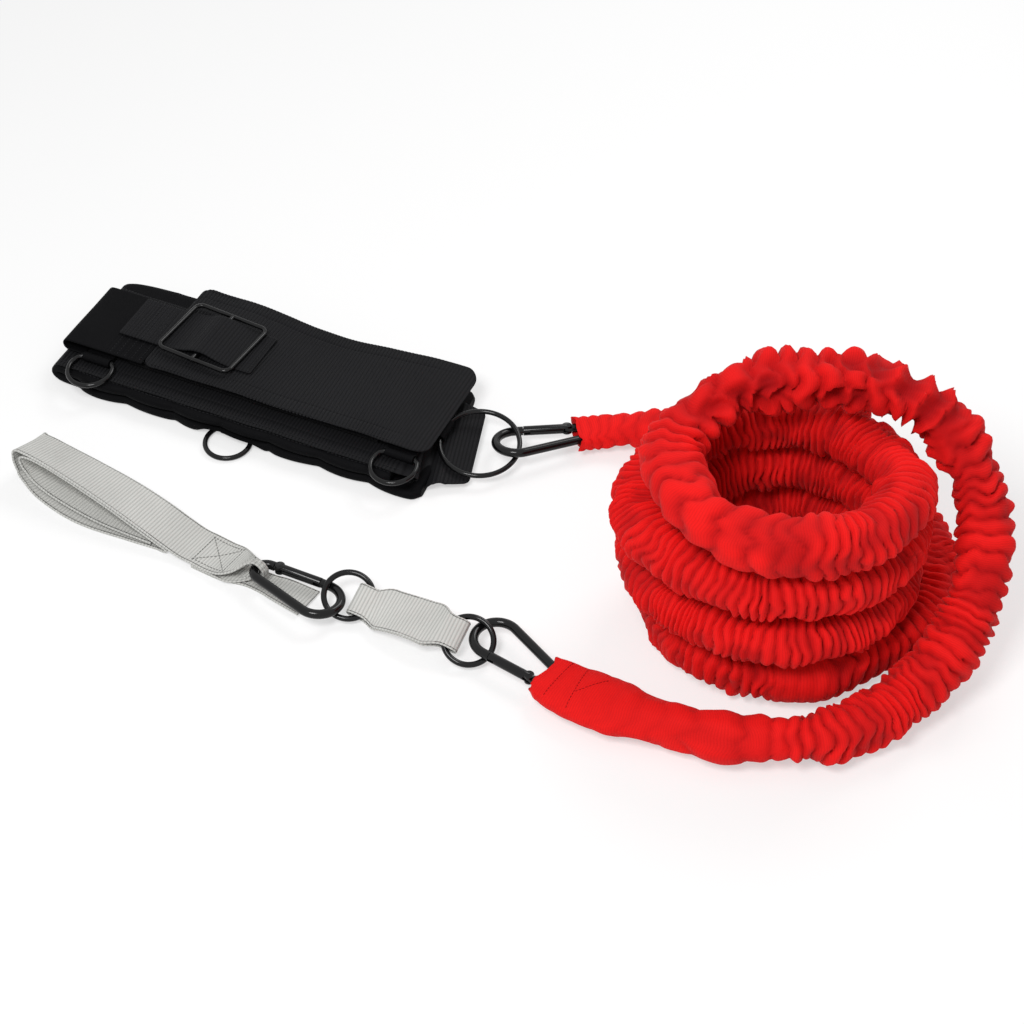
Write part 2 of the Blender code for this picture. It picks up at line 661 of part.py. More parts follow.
def build_anchor_strap():
    """One long strap, seen from its side: along from the hook's eye, and height above the floor."""
    layer = webbing + fit
    base = webbing / 2 + weld
    start = anchor_hook @ eye
    away = -(anchor_hook.to_3x3() @ Vector((1, 0, 0)))
    away = Vector((away.x, away.y, 0)).normalized()
    across = Vector((-away.y, away.x, 0))
    wire_height = start.z
    wire_reach = hook_narrow
    round_wire = hook_wire / 2 + fit + webbing / 2
    inside = wire_reach - round_wire * 1.4
    inner_reach, inner_height = wire_reach - round_wire, round_wire * 0.8
    over = round_wire * 1.12
    lower, upper = base + layer, base + 2 * layer
    full, narrow = strap_width, strap_eye_width
    eye_path = [
        (box_far, lower, full), ((box_near + box_far) / 2, lower, full), (box_near, lower + fit, full * 0.9),
        (box_near * 0.62, lower + layer, full * 0.5), (wire_reach, wire_height - over, narrow),
        (inner_reach, wire_height - inner_height, narrow), (inside, wire_height, narrow),
        (inner_reach, wire_height + inner_height, narrow), (wire_reach, wire_height + over, narrow),
        (box_near * 0.6, wire_height + round_wire * 0.7, full * 0.36),
        (box_near * 0.92, (wire_height + upper) * 0.6, full * 0.68),
        (box_near * 1.35, upper + layer, full * 0.95), (box_near * 1.8, upper, full), (box_far, upper, full)]
    low, high = base + fit, base + fit + roll_height
    roll_shares = [(0.07, 0.14), (0.16, 0.27), (0.26, 0.45), (0.43, 0.69), (0.64, 0.87), (0.84, 0.97),
                   (0.935, 0.985), (0.985, 0.93), (1.0, 0.72), (1.0, 0.45), (0.975, 0.2), (0.91, 0.055),
                   (0.82, 0.0), (0.6, 0.0), (0.35, 0.0), (0.2, 0.0), (0.155, 0.03), (0.14, 0.1),
                   (0.165, 0.165), (0.22, 0.25), (0.32, 0.42), (0.46, 0.62), (0.64, 0.77), (0.82, 0.87),
                   (0.92, 0.86), (0.955, 0.75), (0.955, 0.5), (0.92, 0.3), (0.84, 0.2), (0.7, 0.165),
                   (0.5, 0.14), (0.3, 0.11), (0.24, 0.1)]
    roll_path = [(box_far + roll_reach * s, low + (high - low) * h, full) for s, h in roll_shares]
    eye_path = smooth(eye_path + roll_path[:1], eye_step)
    roll_path = smooth([eye_path[-2]] + roll_path, roll_step)
    path = list(eye_path[:-2]) + list(roll_path)
    middles = [Vector((start.x, start.y, 0)) + away * s + Vector((0, 0, z)) for s, z, w in path]
    acrosses = []
    for s, z, w in path:
        far = max(0, min(1, (s - box_far) / roll_reach * 2 - 0.6))
        high_share = max(0, min(1, (z - low) / roll_height * 2 - 0.5))
        acrosses.append(across + Vector((0, 0, roll_twist * far * high_share)))
    strip("anchor_strap", middles, acrosses, [w for s, z, w in path], webbing, grey_webbing_look, trainer)
    flap = [(box_far, base, full), (box_near * 1.3, base, full * 0.9), (box_near / 2, base, full * 0.6),
            (0, base + layer * 0.4, full * 0.6), (-under_layer_reach / 3, base + layer, full * 0.7),
            (-under_layer_reach, base + layer * 1.2, full * 0.8)]
    middles = [Vector((start.x, start.y, 0)) + away * s + Vector((0, 0, z)) for s, z, w in flap]
    strip("anchor_under_layer", middles, [across] * len(flap), [w for s, z, w in flap], webbing,
          grey_webbing_look, trainer)


def build_short_strap():
    """A closed loop sewn in its middle, a pocket round a ring's wire at each end."""
    ends = []
    first, last = Vector(anchor_ring_place), Vector(sleeve_ring_place)
    for place, lean, turn, other in ((first, anchor_ring_lean, anchor_ring_turn, last),
                                     (last, sleeve_ring_lean, sleeve_ring_turn, first)):
        axis = ring_frame(lean, turn)[0]
        toward = other - place
        toward = (toward - axis * toward.dot(axis)).normalized()
        ends.append((place, axis, toward))
    pocket = strap_ring_wire / 2 + 1.6 * fit + webbing / 2
    seam = (webbing + fit) / 2
    neck = short_strap_neck
    open_side = [(pocket_start, 0.0, neck), (pocket_start + 0.35 * pocket, 0.72 * pocket, neck),
                 (pocket_start + pocket, pocket, neck), (strap_ring_radius - overrun / 2, pocket, neck),
                 (pocket_end, 0.88 * pocket, neck * 1.08)]
    middles, acrosses, widths = [], [], []

    def pocket_point(end, run, height, width):
        place, axis, toward = ends[end]
        middles.append(place + toward * run + axis * height)
        side = toward.cross(axis)
        acrosses.append(side if end == 0 else -side)
        widths.append(width)

    def seam_point(share, height, width):
        """A point between the pockets, in a plane that turns from one ring's to the other's."""
        near = ends[0][0] + ends[0][2] * pocket_end
        far = ends[1][0] + ends[1][2] * pocket_end
        level = 1 - abs(1 - 2 * share) * 0.75
        axis = ends[0][1] * (1 - share) + ends[1][1] * share
        axis = (axis + Vector((0, 0, 1)) * level * 0.9).normalized()
        rise = short_strap_rise * math.sin(math.pi * share)
        middles.append(near.lerp(far, share) + Vector((0, 0, rise)) + axis * height)
        acrosses.append((far - near).cross(axis))
        widths.append(width)

    seam_shares = ((0.14, 1.5), (0.28, 1.0), (0.5, 1.0), (0.72, 1.0), (0.86, 1.5))
    for run, height, width in open_side:
        pocket_point(0, run, height, width)
    for share, open_share in seam_shares:
        seam_point(share, seam * open_share, strap_width)
    for run, height, width in reversed(open_side):
        pocket_point(1, run, height, width)
    for run, height, width in open_side[1:]:
        pocket_point(1, run, -height, width)
    for share, open_share in reversed(seam_shares):
        seam_point(share, -seam * open_share, strap_width)
    for run, height, width in reversed(open_side[1:]):
        pocket_point(0, run, -height, width)
    strip("short_strap", middles, acrosses, widths, webbing, grey_webbing_look, trainer, loop=True)


# Sleeve: the route's own points in millimetres, from the sleeve hook's eye to the belt hook's eye

lead_route = [(28, -121, 13), (45, -132, 13.5), (63, -143, 15), (90, -157, 17), (120, -170, 18.5),
              (138, -176.6, 19.8), (146, -178, 20), (152, -178, 20), (164, -178, 20), (178, -178, 20),
              (191, -178, 20), (203, -178, 20), (212, -177.4, 20), (233, -171, 20), (253, -158, 20.5),
              (275, -141, 22)]
loop_route = [(297, -124, 33), (317, -100, 52), (328, -74, 74), (331, -49, 96), (325, -28, 118),
              (313, -13, 138), (296, 0, 155), (272, 9, 167), (243, 14, 174), (205, 15, 176),
              (158, 10, 171), (127, -8, 162), (110, -36, 153)]
tail_route = [(260, -92, 20), (286, -74, 20), (305, -44, 20), (308, -8, 20), (294, 30, 20), (272, 62, 20),
              (245, 79.1, 20), (232, 84.7, 20), (218, 90.8, 20), (204, 96.9, 20), (190, 102.9, 20),
              (176, 109, 20), (160, 114, 20), (133, 124, 19), (105, 132, 17.5), (82, 136, 14.5),
              (64, 135.5, 11.5)]
lead_joint = (157, -178, 20)
tail_joint = (190, 102.9, 20)
first_turns = 0.6
last_turns = 3.8
turn_points = 24
settle_shares = [(0, 0), (0.36, 0.0), (0.44, 0.09), (0.5, 0.28), (0.585, 0.48), (0.66, 0.54),
                 (0.73, 0.58), (0.81, 0.68), (0.9, 0.84), (1.0, 1.0)]
spread_shares = [(0.5, 0.02), (0.62, -0.02), (0.75, -0.02), (0.86, 0.05), (0.94, 0.02), (1.04, -0.07),
                 (1.16, -0.09), (1.27, -0.05), (1.38, 0.1), (1.5, 0.24), (1.64, 0.04), (1.75, -0.03),
                 (2.0, 0.02), (2.25, -0.06), (2.4, 0.1), (2.5, 0.2), (2.66, 0.04), (2.78, 0.02),
                 (3.0, 0.0), (3.25, -0.03), (3.45, 0.02), (3.6, -0.02), (3.72, -0.04), (3.86, 0.0)]


def eased(keys, x):
    """The value at x of a smooth curve through the keys that never overshoots them."""
    xs = [key[0] for key in keys]
    ys = [key[1] for key in keys]
    slopes = [(ys[i + 1] - ys[i]) / (xs[i + 1] - xs[i]) for i in range(len(xs) - 1)]
    tangents = [slopes[0]]
    for a, b in zip(slopes, slopes[1:]):
        tangents.append(0 if a * b <= 0 else 2 * a * b / (a + b))
    tangents.append(slopes[-1])
    i = max(0, min(len(xs) - 2, sum(v <= x for v in xs[1:-1])))
    width = xs[i + 1] - xs[i]
    t = (x - xs[i]) / width
    return (ys[i] * (1 + 2 * t) * (1 - t) ** 2 + tangents[i] * width * t * (1 - t) ** 2
            + ys[i + 1] * t * t * (3 - 2 * t) + tangents[i + 1] * width * t * t * (t - 1))


def stack_point(turns):
    """A point of the stacked loops: three turns, each settling onto the next, then the one on the floor."""
    lap = int(turns - 0.5)
    level = max(0, 3 - lap - eased(settle_shares, turns - 0.5 - lap)) if lap < 3 else 0
    radius = turn_radius * (1 + eased(spread_shares, turns))
    a = 2 * math.pi * turns
    height = floor_turn_height + turn_rise * level
    return (stack_x + radius * math.cos(a), stack_y + radius * math.sin(a), height)


def sleeve_points():
    points = [tuple(sleeve_hook @ eye)]
    points += [tuple(v * mm for v in p) for p in lead_route + loop_route]
    count = round((last_turns - first_turns) * turn_points)
    points += [stack_point(first_turns + (last_turns - first_turns) * k / count) for k in range(count + 1)]
    points += [tuple(v * mm for v in p) for p in tail_route]
    return points + [tuple(belt_hook @ eye)]


route = smooth(sleeve_points(), 2 * mm)
route_run = np.concatenate([[0], np.cumsum(np.linalg.norm(np.diff(route, axis=0), axis=1))])
route_length = float(route_run[-1])


def route_at(distance):
    return [float(np.interp(distance, route_run, route[:, k])) for k in range(3)]


def route_near(point):
    target = np.array(point) * mm
    return float(route_run[int(np.argmin(np.linalg.norm(route - target, axis=1)))])


def snapped(distance):
    """The middle of the route's short straight step at a distance, so that both pieces are cut alike."""
    i = int(np.searchsorted(route_run, distance))
    return float(route_run[i - 1] + route_run[i]) / 2


def stations(first, last, step):
    """Distances from first to last, with a short step at each end so that the ends are cut square."""
    count = max(2, round((last - first) / step))
    inner = [first + (last - first) * k / count for k in range(1, count)]
    return [first, first + cap_step] + inner + [last - cap_step, last]


def sleeve_tube(name, distances, radii, values):
    """A tube of the sleeve's squashed section along the route."""
    tall = Matrix.Diagonal((1, 1, sleeve_squash_share, 1))
    points = [(x, y, z / sleeve_squash_share) for x, y, z in map(route_at, distances)]
    mesh = swept_mesh(points, radii, 2)
    mesh.transform(tall)
    return piece(name, mesh, values, trainer)


lead_start = snapped(front_sewn_length)
coil_start = snapped(route_near(lead_joint))
coil_end = snapped(route_near(tail_joint))
tail_end = snapped(route_length - rear_sewn_length)
core_start = lead_start - core_end_cover
core_end = tail_end + core_end_cover
face = fit / 2
core_count = round((core_end - core_start) / core_step)
core_stations = [core_start + (core_end - core_start) * k / core_count for k in range(core_count + 1)]
bore_radius = (core_width / 2 + fit) / math.cos(math.pi / 6)


def bore_mesh(first, last):
    """The bore for the elastic cord over a stretch, on the cord's own points and just past its ends."""
    inside = [k for k, d in enumerate(core_stations) if first < d < last]
    low, high = max(0, inside[0] - 1), min(core_count, inside[-1] + 1)
    points = [Vector(route_at(core_stations[k])) for k in range(low, high + 1)]
    if low == 0:
        points[0] += (points[0] - points[1]).normalized() * fit
    if high == core_count:
        points[-1] += (points[-1] - points[-2]).normalized() * fit
    return swept_mesh(points, bore_radius, 1)


def build_sewn_end(name, hook, length, backward):
    """The sleeve's end sewn round the hook's eye: a loft from the round sleeve to a flat tip."""
    shares = [(0.0, 0.84, 0.0), (0.09, 0.94, 0.03), (0.19, 1.0, 0.06), (0.4, 1.03, 0.25), (0.7, 0.98, 0.7),
              (1.0, lead_width / sewn_end_width, 1.0)]
    full_height = lead_width * sleeve_squash_share
    shape = bmesh.new()
    rings = []
    hook_axis = (hook.to_3x3() @ Vector((1, 0, 0))).normalized()
    for along_share, width_share, round_share in shares:
        distance = length * along_share
        at = route_length - distance if backward else distance
        place = Vector(route_at(at))
        ahead = Vector(route_at(min(route_length, at + face))) - Vector(route_at(max(0, at - face)))
        ahead = -ahead if backward else ahead
        if along_share < 0.2:
            ahead = -hook_axis
            place = hook @ eye - hook_axis * distance
        ahead.z /= sleeve_squash_share
        side = ahead.cross(Vector((0, 0, 1))).normalized()
        up = side.cross(ahead).normalized()
        up.z *= sleeve_squash_share
        width = sewn_end_width * width_share
        height = (sewn_end_height + (full_height - sewn_end_height) * round_share) / sleeve_squash_share
        corner = 0.45 + 0.55 * round_share
        ring = []
        for k in range(16):
            a = 2 * math.pi * k / 16
            c, s = math.cos(a), math.sin(a)
            x = math.copysign(abs(c) ** corner, c) * width / 2
            y = math.copysign(abs(s) ** corner, s) * height / 2
            ring.append(shape.verts.new(place + side * x + up * y))
        rings.append(ring)
    for near, far in zip(rings, rings[1:]):
        for k in range(16):
            shape.faces.new((near[k], near[(k + 1) % 16], far[(k + 1) % 16], far[k]))
    shape.faces.new(list(reversed(rings[0])))
    shape.faces.new(rings[-1])
    item = piece(name, closed_mesh(shape, name), red_sleeve_look, trainer)
    tunnel = [gate_point(gate_pivot)] + eye_arc(math.pi / 2 + hook_taper, 3 * math.pi / 2 - hook_taper, 8)
    mirrored = gate_point(gate_pivot)
    tunnel.append(Vector((mirrored.x, -mirrored.y, 0)))
    mesh = swept_mesh(tunnel, hook_wire / 2 + tunnel_room, 2)
    mesh.transform(hook)
    carve(item, mesh)
    first, last = (tail_end, route_length) if backward else (0, lead_start)
    carve(item, bore_mesh(first, last))
    return item


def build_sleeve():
    lead_shares = [(0.0, 1.0), (0.2, 0.93), (0.45, 0.9), (0.7, 0.98), (0.9, 1.02), (1.0, 1.05)]
    distances = stations(lead_start + face, coil_start - face, tube_step)
    span = coil_start - lead_start
    radii = [lead_width / 2 * eased(lead_shares, (d - lead_start) / span) for d in distances]
    lead = sleeve_tube("sleeve_lead", distances, radii, red_sleeve_look)
    carve(lead, bore_mesh(lead_start, coil_start))
    straight = sleeve_peak
    ribbed = coil_end - coil_start - 2 * straight
    pitch = ribbed / rib_count
    distances = [coil_start + face, coil_start + face + cap_step]
    radii = [sleeve_valley / 2, sleeve_valley / 2]
    for k in range(rib_count + 1):
        distances.append(coil_start + straight + pitch * k)
        radii.append(sleeve_valley / 2)
        if k < rib_count:
            distances.append(coil_start + straight + pitch * (k + 0.5))
            radii.append(sleeve_peak / 2)
    distances += [coil_end - face - cap_step, coil_end - face]
    radii += [sleeve_valley / 2, sleeve_valley / 2]
    coil = sleeve_tube("sleeve_coil", distances, radii, red_sleeve_look)
    carve(coil, bore_mesh(coil_start, coil_end))
    tail_shares = [(0.0, 1.05), (0.5, 1.0), (1.0, 1.0)]
    distances = stations(coil_end + face, tail_end - face, tube_step)
    span = tail_end - coil_end
    radii = [lead_width / 2 * eased(tail_shares, (d - coil_end) / span) for d in distances]
    tail = sleeve_tube("sleeve_tail", distances, radii, red_sleeve_look)
    carve(tail, bore_mesh(coil_end, tail_end))
    core = swept_mesh([route_at(d) for d in core_stations], core_width / 2, 1)
    piece("elastic_core", core, rubber_look, trainer)
    build_sewn_end("front_sewn_end", sleeve_hook, lead_start - face, False)
    build_sewn_end("rear_sewn_end", belt_hook, route_length - tail_end - face, True)


def report_gaps():
    """Print the least gap of the coil and of a gate spring to themselves, measured on points."""
    run = np.arange(coil_start, coil_end, sleeve_peak / 12)
    points = np.array([route_at(d) for d in run]) / (1, 1, sleeve_squash_share)
    least = 1.0
    apart = 1.6 * sleeve_peak
    for i in range(len(run)):
        far = np.abs(run - run[i]) > apart
        if far.any():
            least = min(least, float(np.linalg.norm(points[far] - points[i], axis=1).min()))
    print("sleeve coil, least gap to itself, mm:", round((least - sleeve_peak) * sleeve_squash_share / mm, 2))
    curl_gap = spring_length / spring_curls - spring_wire
    print("gate spring, least gap between curls, mm:", round(curl_gap / mm, 2))
    print("cord length, mm:", round(route_length / mm))


build_belt()
build_buckle()
build_big_ring()
build_hook("belt_hook", belt_hook_place, belt_hook_heading, belt_hook_pitch, belt_hook_roll)
build_hook("anchor_hook", anchor_hook_place, anchor_hook_heading, anchor_hook_pitch, anchor_hook_roll)
build_hook("sleeve_hook", sleeve_hook_place, sleeve_hook_heading, sleeve_hook_pitch, sleeve_hook_roll)
build_anchor_strap()
build_round_ring("anchor_ring", anchor_ring_place, anchor_ring_lean, anchor_ring_turn, strap_ring_radius,
                 strap_ring_wire)
build_round_ring("sleeve_ring", sleeve_ring_place, sleeve_ring_lean, sleeve_ring_turn, strap_ring_radius,
                 strap_ring_wire)
build_short_strap()
build_sleeve()
report_gaps()
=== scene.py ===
import math

import bmesh
import bpy
import numpy as np
from mathutils import Euler, Matrix, Vector
from mathutils.bvhtree import BVHTree


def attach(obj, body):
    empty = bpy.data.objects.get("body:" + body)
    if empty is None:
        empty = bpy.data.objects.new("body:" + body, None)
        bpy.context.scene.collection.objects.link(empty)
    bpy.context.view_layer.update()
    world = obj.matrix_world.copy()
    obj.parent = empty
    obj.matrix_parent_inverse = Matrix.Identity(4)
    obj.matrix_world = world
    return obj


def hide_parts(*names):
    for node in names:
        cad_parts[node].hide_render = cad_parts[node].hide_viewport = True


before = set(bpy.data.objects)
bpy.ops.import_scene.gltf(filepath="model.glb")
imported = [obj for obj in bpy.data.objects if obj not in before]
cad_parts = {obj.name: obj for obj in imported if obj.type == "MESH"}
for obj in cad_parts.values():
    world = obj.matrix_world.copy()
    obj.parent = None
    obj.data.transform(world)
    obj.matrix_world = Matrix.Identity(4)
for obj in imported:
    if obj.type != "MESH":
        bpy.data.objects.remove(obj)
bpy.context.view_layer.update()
mm = 0.001
scene = bpy.context.scene
root = "trainer"

# The view: the camera looks at the middle of the laid-out trainer, in metres
shot = {"lens": 85, "target": (0.15955, -0.09426, 0.06), "distance": 1.75, "elevation": 45}


def buildCamera():
    lens = bpy.data.cameras.new("shotCamera")
    lens.lens = shot["lens"]
    lens.sensor_width = 36
    lens.clip_end = 50
    camera = bpy.data.objects.new("shotCamera", lens)
    scene.collection.objects.link(camera)
    tilt = math.radians(shot["elevation"])
    back = Vector((0, -math.cos(tilt), math.sin(tilt)))
    camera.location = Vector(shot["target"]) + back * shot["distance"]
    camera.rotation_euler = (math.pi / 2 - tilt, 0, 0)
    scene.camera = camera


buildCamera()
print("camera placed")


# Curves and noise, all lengths in millimetres

def keyed(x, keys):
    # the value at x of a smooth curve through (x, value) keys
    xs, ys = np.array(keys, float).T
    i = np.clip(np.searchsorted(xs, x) - 1, 0, len(xs) - 2)
    t = np.clip((x - xs[i]) / (xs[i + 1] - xs[i]), 0, 1)
    return ys[i] + (ys[i + 1] - ys[i]) * t * t * (3 - 2 * t)


def unit(v):
    return v / np.maximum(np.linalg.norm(v, axis=-1, keepdims=True), 1e-9)


def runOf(points):
    steps = np.linalg.norm(np.diff(points[:, :3], axis=0), axis=1)
    return np.concatenate([[0], np.cumsum(steps)])


# steps of a fine curve from one key to the next
fineSteps = 16


def curveThrough(keys, loop=False):
    # a fine centripetal Catmull-Rom curve: the first three columns are places, the rest go along
    keys = np.array(keys, float)
    if loop:
        knots = np.concatenate([keys[-1:], keys, keys[:2]])
    else:
        knots = np.concatenate([2 * keys[:1] - keys[1:2], keys, 2 * keys[-1:] - keys[-2:-1]])
    fine = []
    for p0, p1, p2, p3 in zip(knots, knots[1:], knots[2:], knots[3:]):
        t1, t2, t3 = [max(np.linalg.norm((b - a)[:3]), 1e-3) ** 0.5 for a, b in ((p0, p1), (p1, p2), (p2, p3))]
        t2 += t1
        t3 += t2
        t = (t1 + (t2 - t1) * np.arange(fineSteps) / fineSteps)[:, None]
        a1 = p0 + (p1 - p0) * t / t1
        a2 = p1 + (p2 - p1) * (t - t1) / (t2 - t1)
        a3 = p2 + (p3 - p2) * (t - t2) / (t3 - t2)
        b1 = a1 + (a2 - a1) * t / t2
        b2 = a2 + (a3 - a2) * (t - t1) / (t3 - t1)
        fine.append(b1 + (b2 - b1) * (t - t1) / (t2 - t1))
    fine.append(keys[:1] if loop else knots[-2:-1])
    return np.concatenate(fine)


def sampled(curve, at):
    run = runOf(curve)
    return np.stack([np.interp(at, run, curve[:, k]) for k in range(curve.shape[1])], axis=1)


def noise(points, seed):
    # smooth noise from about -1 to 1 at each point, the same on every run
    cell = np.floor(points).astype(np.int64)
    part = points - cell
    part = part * part * part * (part * (part * 6 - 15) + 10)
    total = np.zeros(points.shape[:-1])
    for corner in np.ndindex(2, 2, 2):
        at = cell + np.array(corner)
        key = at[..., 0] * 73856093 ^ at[..., 1] * 19349663 ^ at[..., 2] * 83492791 ^ (seed * 2654435 + 977)
        key = (key ^ (key >> 13)) * 1274126177 & 0x7FFFFFFF
        key = (key ^ (key >> 15)) * 668265263 & 0x7FFFFFFF
        value = ((key >> 8) & 0xFFFF) / 32767.5 - 1
        weight = np.prod(np.where(np.array(corner) == 1, part, 1 - part), axis=-1)
        total += value * weight
    return total


def noiseAt(x, y, z, seed):
    return noise(np.stack(np.broadcast_arrays(x, y, z), -1), seed)


def clothUv(run, girth):
    # the cloth's own measure at each point, along its run and round it
    return np.stack(np.broadcast_arrays(run[:, None], girth), -1)


def clamped(x):
    return max(0, min(1, x))


# Meshes and Geometry Nodes

def linked(name, mesh):
    item = bpy.data.objects.new(name, mesh)
    scene.collection.objects.link(item)
    return item


def outward(mesh):
    shape = bmesh.new()
    shape.from_mesh(mesh)
    if shape.calc_volume(signed=True) < 0:
        bmesh.ops.reverse_faces(shape, faces=shape.faces)
    shape.to_mesh(mesh)
    shape.free()


def gridPiece(name, points, uv, loop=False):
    # rings of points joined to a closed skin with flat end caps; uv has one more column than points
    rows, cols = points.shape[:2]
    spans = rows if loop else rows - 1
    i, j = np.meshgrid(np.arange(spans), np.arange(cols), indexing="ij")
    ni, nj = (i + 1) % rows, (j + 1) % cols
    quads = np.stack([i * cols + j, ni * cols + j, ni * cols + nj, i * cols + nj], -1).reshape(-1, 4)
    corners = np.stack([uv[i, j], uv[i + 1, j], uv[i + 1, j + 1], uv[i, j + 1]], 2).reshape(-1, 2)
    faces = quads.tolist()
    if not loop:
        last = (rows - 1) * cols
        faces += [list(range(cols - 1, -1, -1)), list(range(last, last + cols))]
        corners = np.concatenate([corners, uv[0, cols - 1::-1], uv[rows - 1, :cols]])
    mesh = bpy.data.meshes.new(name)
    mesh.from_pydata((points.reshape(-1, 3) * mm).tolist(), [], faces)
    layer = mesh.uv_layers.new(name="cloth")
    layer.data.foreach_set("uv", (corners * mm).astype(np.float32).ravel())
    outward(mesh)
    mesh.shade_smooth()
    if not loop:
        for face in list(mesh.polygons)[-2:]:
            face.use_smooth = False
    return linked(name, mesh)


def geometryTree(name, inputs):
    tree = bpy.data.node_groups.new(name, "GeometryNodeTree")
    tree.interface.new_socket("Geometry", in_out="INPUT", socket_type="NodeSocketGeometry")
    tree.interface.new_socket("Geometry", in_out="OUTPUT", socket_type="NodeSocketGeometry")
    for label, kind, value in inputs:
        socket = tree.interface.new_socket(label, in_out="INPUT", socket_type=kind)
        if value is not None:
            socket.default_value = value
    return tree, tree.nodes.new("NodeGroupInput"), tree.nodes.new("NodeGroupOutput")


def chained(tree, kind, geometry):
    item = tree.nodes.new(kind)
    tree.links.new(geometry, item.inputs[0])
    return item, item.outputs[0]


def ended(tree, start, end, geometry):
    # real mesh in the material asked for
    geometry = chained(tree, "GeometryNodeRealizeInstances", geometry)[1]
    finish, geometry = chained(tree, "GeometryNodeSetMaterial", geometry)
    tree.links.new(start.outputs["Material"], finish.inputs["Material"])
    tree.links.new(geometry, end.inputs[0])
    return tree


def settled(item):
    # what the modifiers make becomes the item's own mesh
    bpy.context.view_layer.update()
    made = bpy.data.meshes.new_from_object(item.evaluated_get(bpy.context.evaluated_depsgraph_get()))
    item.modifiers.clear()
    old = item.data
    item.data = made
    made.name = item.name
    bpy.data.meshes.remove(old)
    return item


def grown(item, tree, values):
    # the object's mesh after the tree, with its inputs set by name
    step = item.modifiers.new(tree.name, "NODES")
    step.node_group = tree
    for socket in tree.interface.items_tree:
        if socket.in_out == "INPUT" and socket.name in values:
            step[socket.identifier] = values[socket.name]
    return settled(item)


def wireTree():
    # a round wire along each line of edges
    tree, start, end = geometryTree("roundWire", [
        ("Radius", "NodeSocketFloat", 0.002), ("Sides", "NodeSocketInt", 20), ("Material", "NodeSocketMaterial", None)])
    geometry = chained(tree, "GeometryNodeMeshToCurve", start.outputs["Geometry"])[1]
    profile = tree.nodes.new("GeometryNodeCurvePrimitiveCircle")
    tree.links.new(start.outputs["Radius"], profile.inputs["Radius"])
    tree.links.new(start.outputs["Sides"], profile.inputs["Resolution"])
    sweep, geometry = chained(tree, "GeometryNodeCurveToMesh", geometry)
    tree.links.new(profile.outputs["Curve"], sweep.inputs["Profile Curve"])
    sweep.inputs["Fill Caps"].default_value = True
    return ended(tree, start, end, geometry)


def stitchTree():
    # a sunk thread bead at each step along each line of edges
    tree, start, end = geometryTree("stitchRow", [
        ("Spacing", "NodeSocketFloat", 0.003), ("Bead", "NodeSocketFloat", 0.002),
        ("Thread", "NodeSocketFloat", 0.0007), ("Material", "NodeSocketMaterial", None)])
    geometry = chained(tree, "GeometryNodeMeshToCurve", start.outputs["Geometry"])[1]
    spaced, geometry = chained(tree, "GeometryNodeResampleCurve", geometry)
    spaced.mode = "LENGTH"
    tree.links.new(start.outputs["Spacing"], spaced.inputs["Length"])
    bead = tree.nodes.new("GeometryNodeMeshUVSphere")
    for label, value in (("Segments", 6), ("Rings", 5), ("Radius", 0.5)):
        bead.inputs[label].default_value = value
    size = tree.nodes.new("ShaderNodeCombineXYZ")
    for label, axis in (("Thread", "X"), ("Thread", "Y"), ("Bead", "Z")):
        tree.links.new(start.outputs[label], size.inputs[axis])
    along = tree.nodes.new("GeometryNodeInputTangent")
    turn = tree.nodes.new("FunctionNodeAlignRotationToVector")
    turn.axis = "Z"
    tree.links.new(along.outputs[0], turn.inputs["Vector"])
    place, geometry = chained(tree, "GeometryNodeInstanceOnPoints", geometry)
    tree.links.new(bead.outputs["Mesh"], place.inputs["Instance"])
    tree.links.new(turn.outputs["Rotation"], place.inputs["Rotation"])
    tree.links.new(size.outputs[0], place.inputs["Scale"])
    return ended(tree, start, end, geometry)


roundWire = wireTree()
stitchRow = stitchTree()


def lineMesh(name, lines):
    # lines of points in millimetres as loose edges; a closed line repeats no point
    points, edges = [], []
    for line, closed in lines:
        first = len(points)
        points += [tuple(np.array(p) * mm) for p in line]
        edges += [(first + k, first + k + 1) for k in range(len(line) - 1)]
        if closed:
            edges.append((first + len(line) - 1, first))
    mesh = bpy.data.meshes.new(name)
    mesh.from_pydata(points, edges, [])
    return linked(name, mesh)


def smoothed(item, sharp):
    # round to the eye, but for edges over the sharp angle in degrees
    item.data.shade_smooth()
    item.data.set_sharp_from_angle(angle=math.radians(sharp))
    return item


def wirePiece(name, lines, diameter, material, sides=20):
    item = lineMesh(name, lines)
    return smoothed(grown(item, roundWire, {"Radius": diameter / 2 * mm, "Sides": sides, "Material": material}), 50)


def stitched(name, lines, thread, material):
    # rows of stitches, drawn on a surface by the lines given
    item = lineMesh(name, [(line, False) for line in lines])
    grown(item, stitchRow, {"Spacing": thread["spacing"] * mm, "Bead": thread["bead"] * mm,
                            "Thread": thread["width"] * mm, "Material": material})
    item.data.shade_smooth()
    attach(item, root)


# Materials

def addNode(tree, kind, **values):
    item = tree.nodes.new(kind)
    for key, value in values.items():
        setattr(item, key, value)
    return item


def put(tree, value, socket):
    if isinstance(value, bpy.types.NodeSocket):
        tree.links.new(value, socket)
    else:
        socket.default_value = value


def calc(tree, operation, a, b=0.0, c=0.0):
    item = addNode(tree, "ShaderNodeMath", operation=operation)
    for value, socket in zip((a, b, c), item.inputs):
        put(tree, value, socket)
    return item.outputs[0]


def ridges(tree, x):
    # one round ridge from 0 to 1 at each whole step of x
    return calc(tree, "ABSOLUTE", calc(tree, "SINE", calc(tree, "MULTIPLY", x, math.pi)))


def byTurns(tree, x):
    # 0 on even steps of x, a half on odd ones
    return calc(tree, "MULTIPLY", calc(tree, "FLOORED_MODULO", calc(tree, "FLOOR", x), 2.0), 0.5)


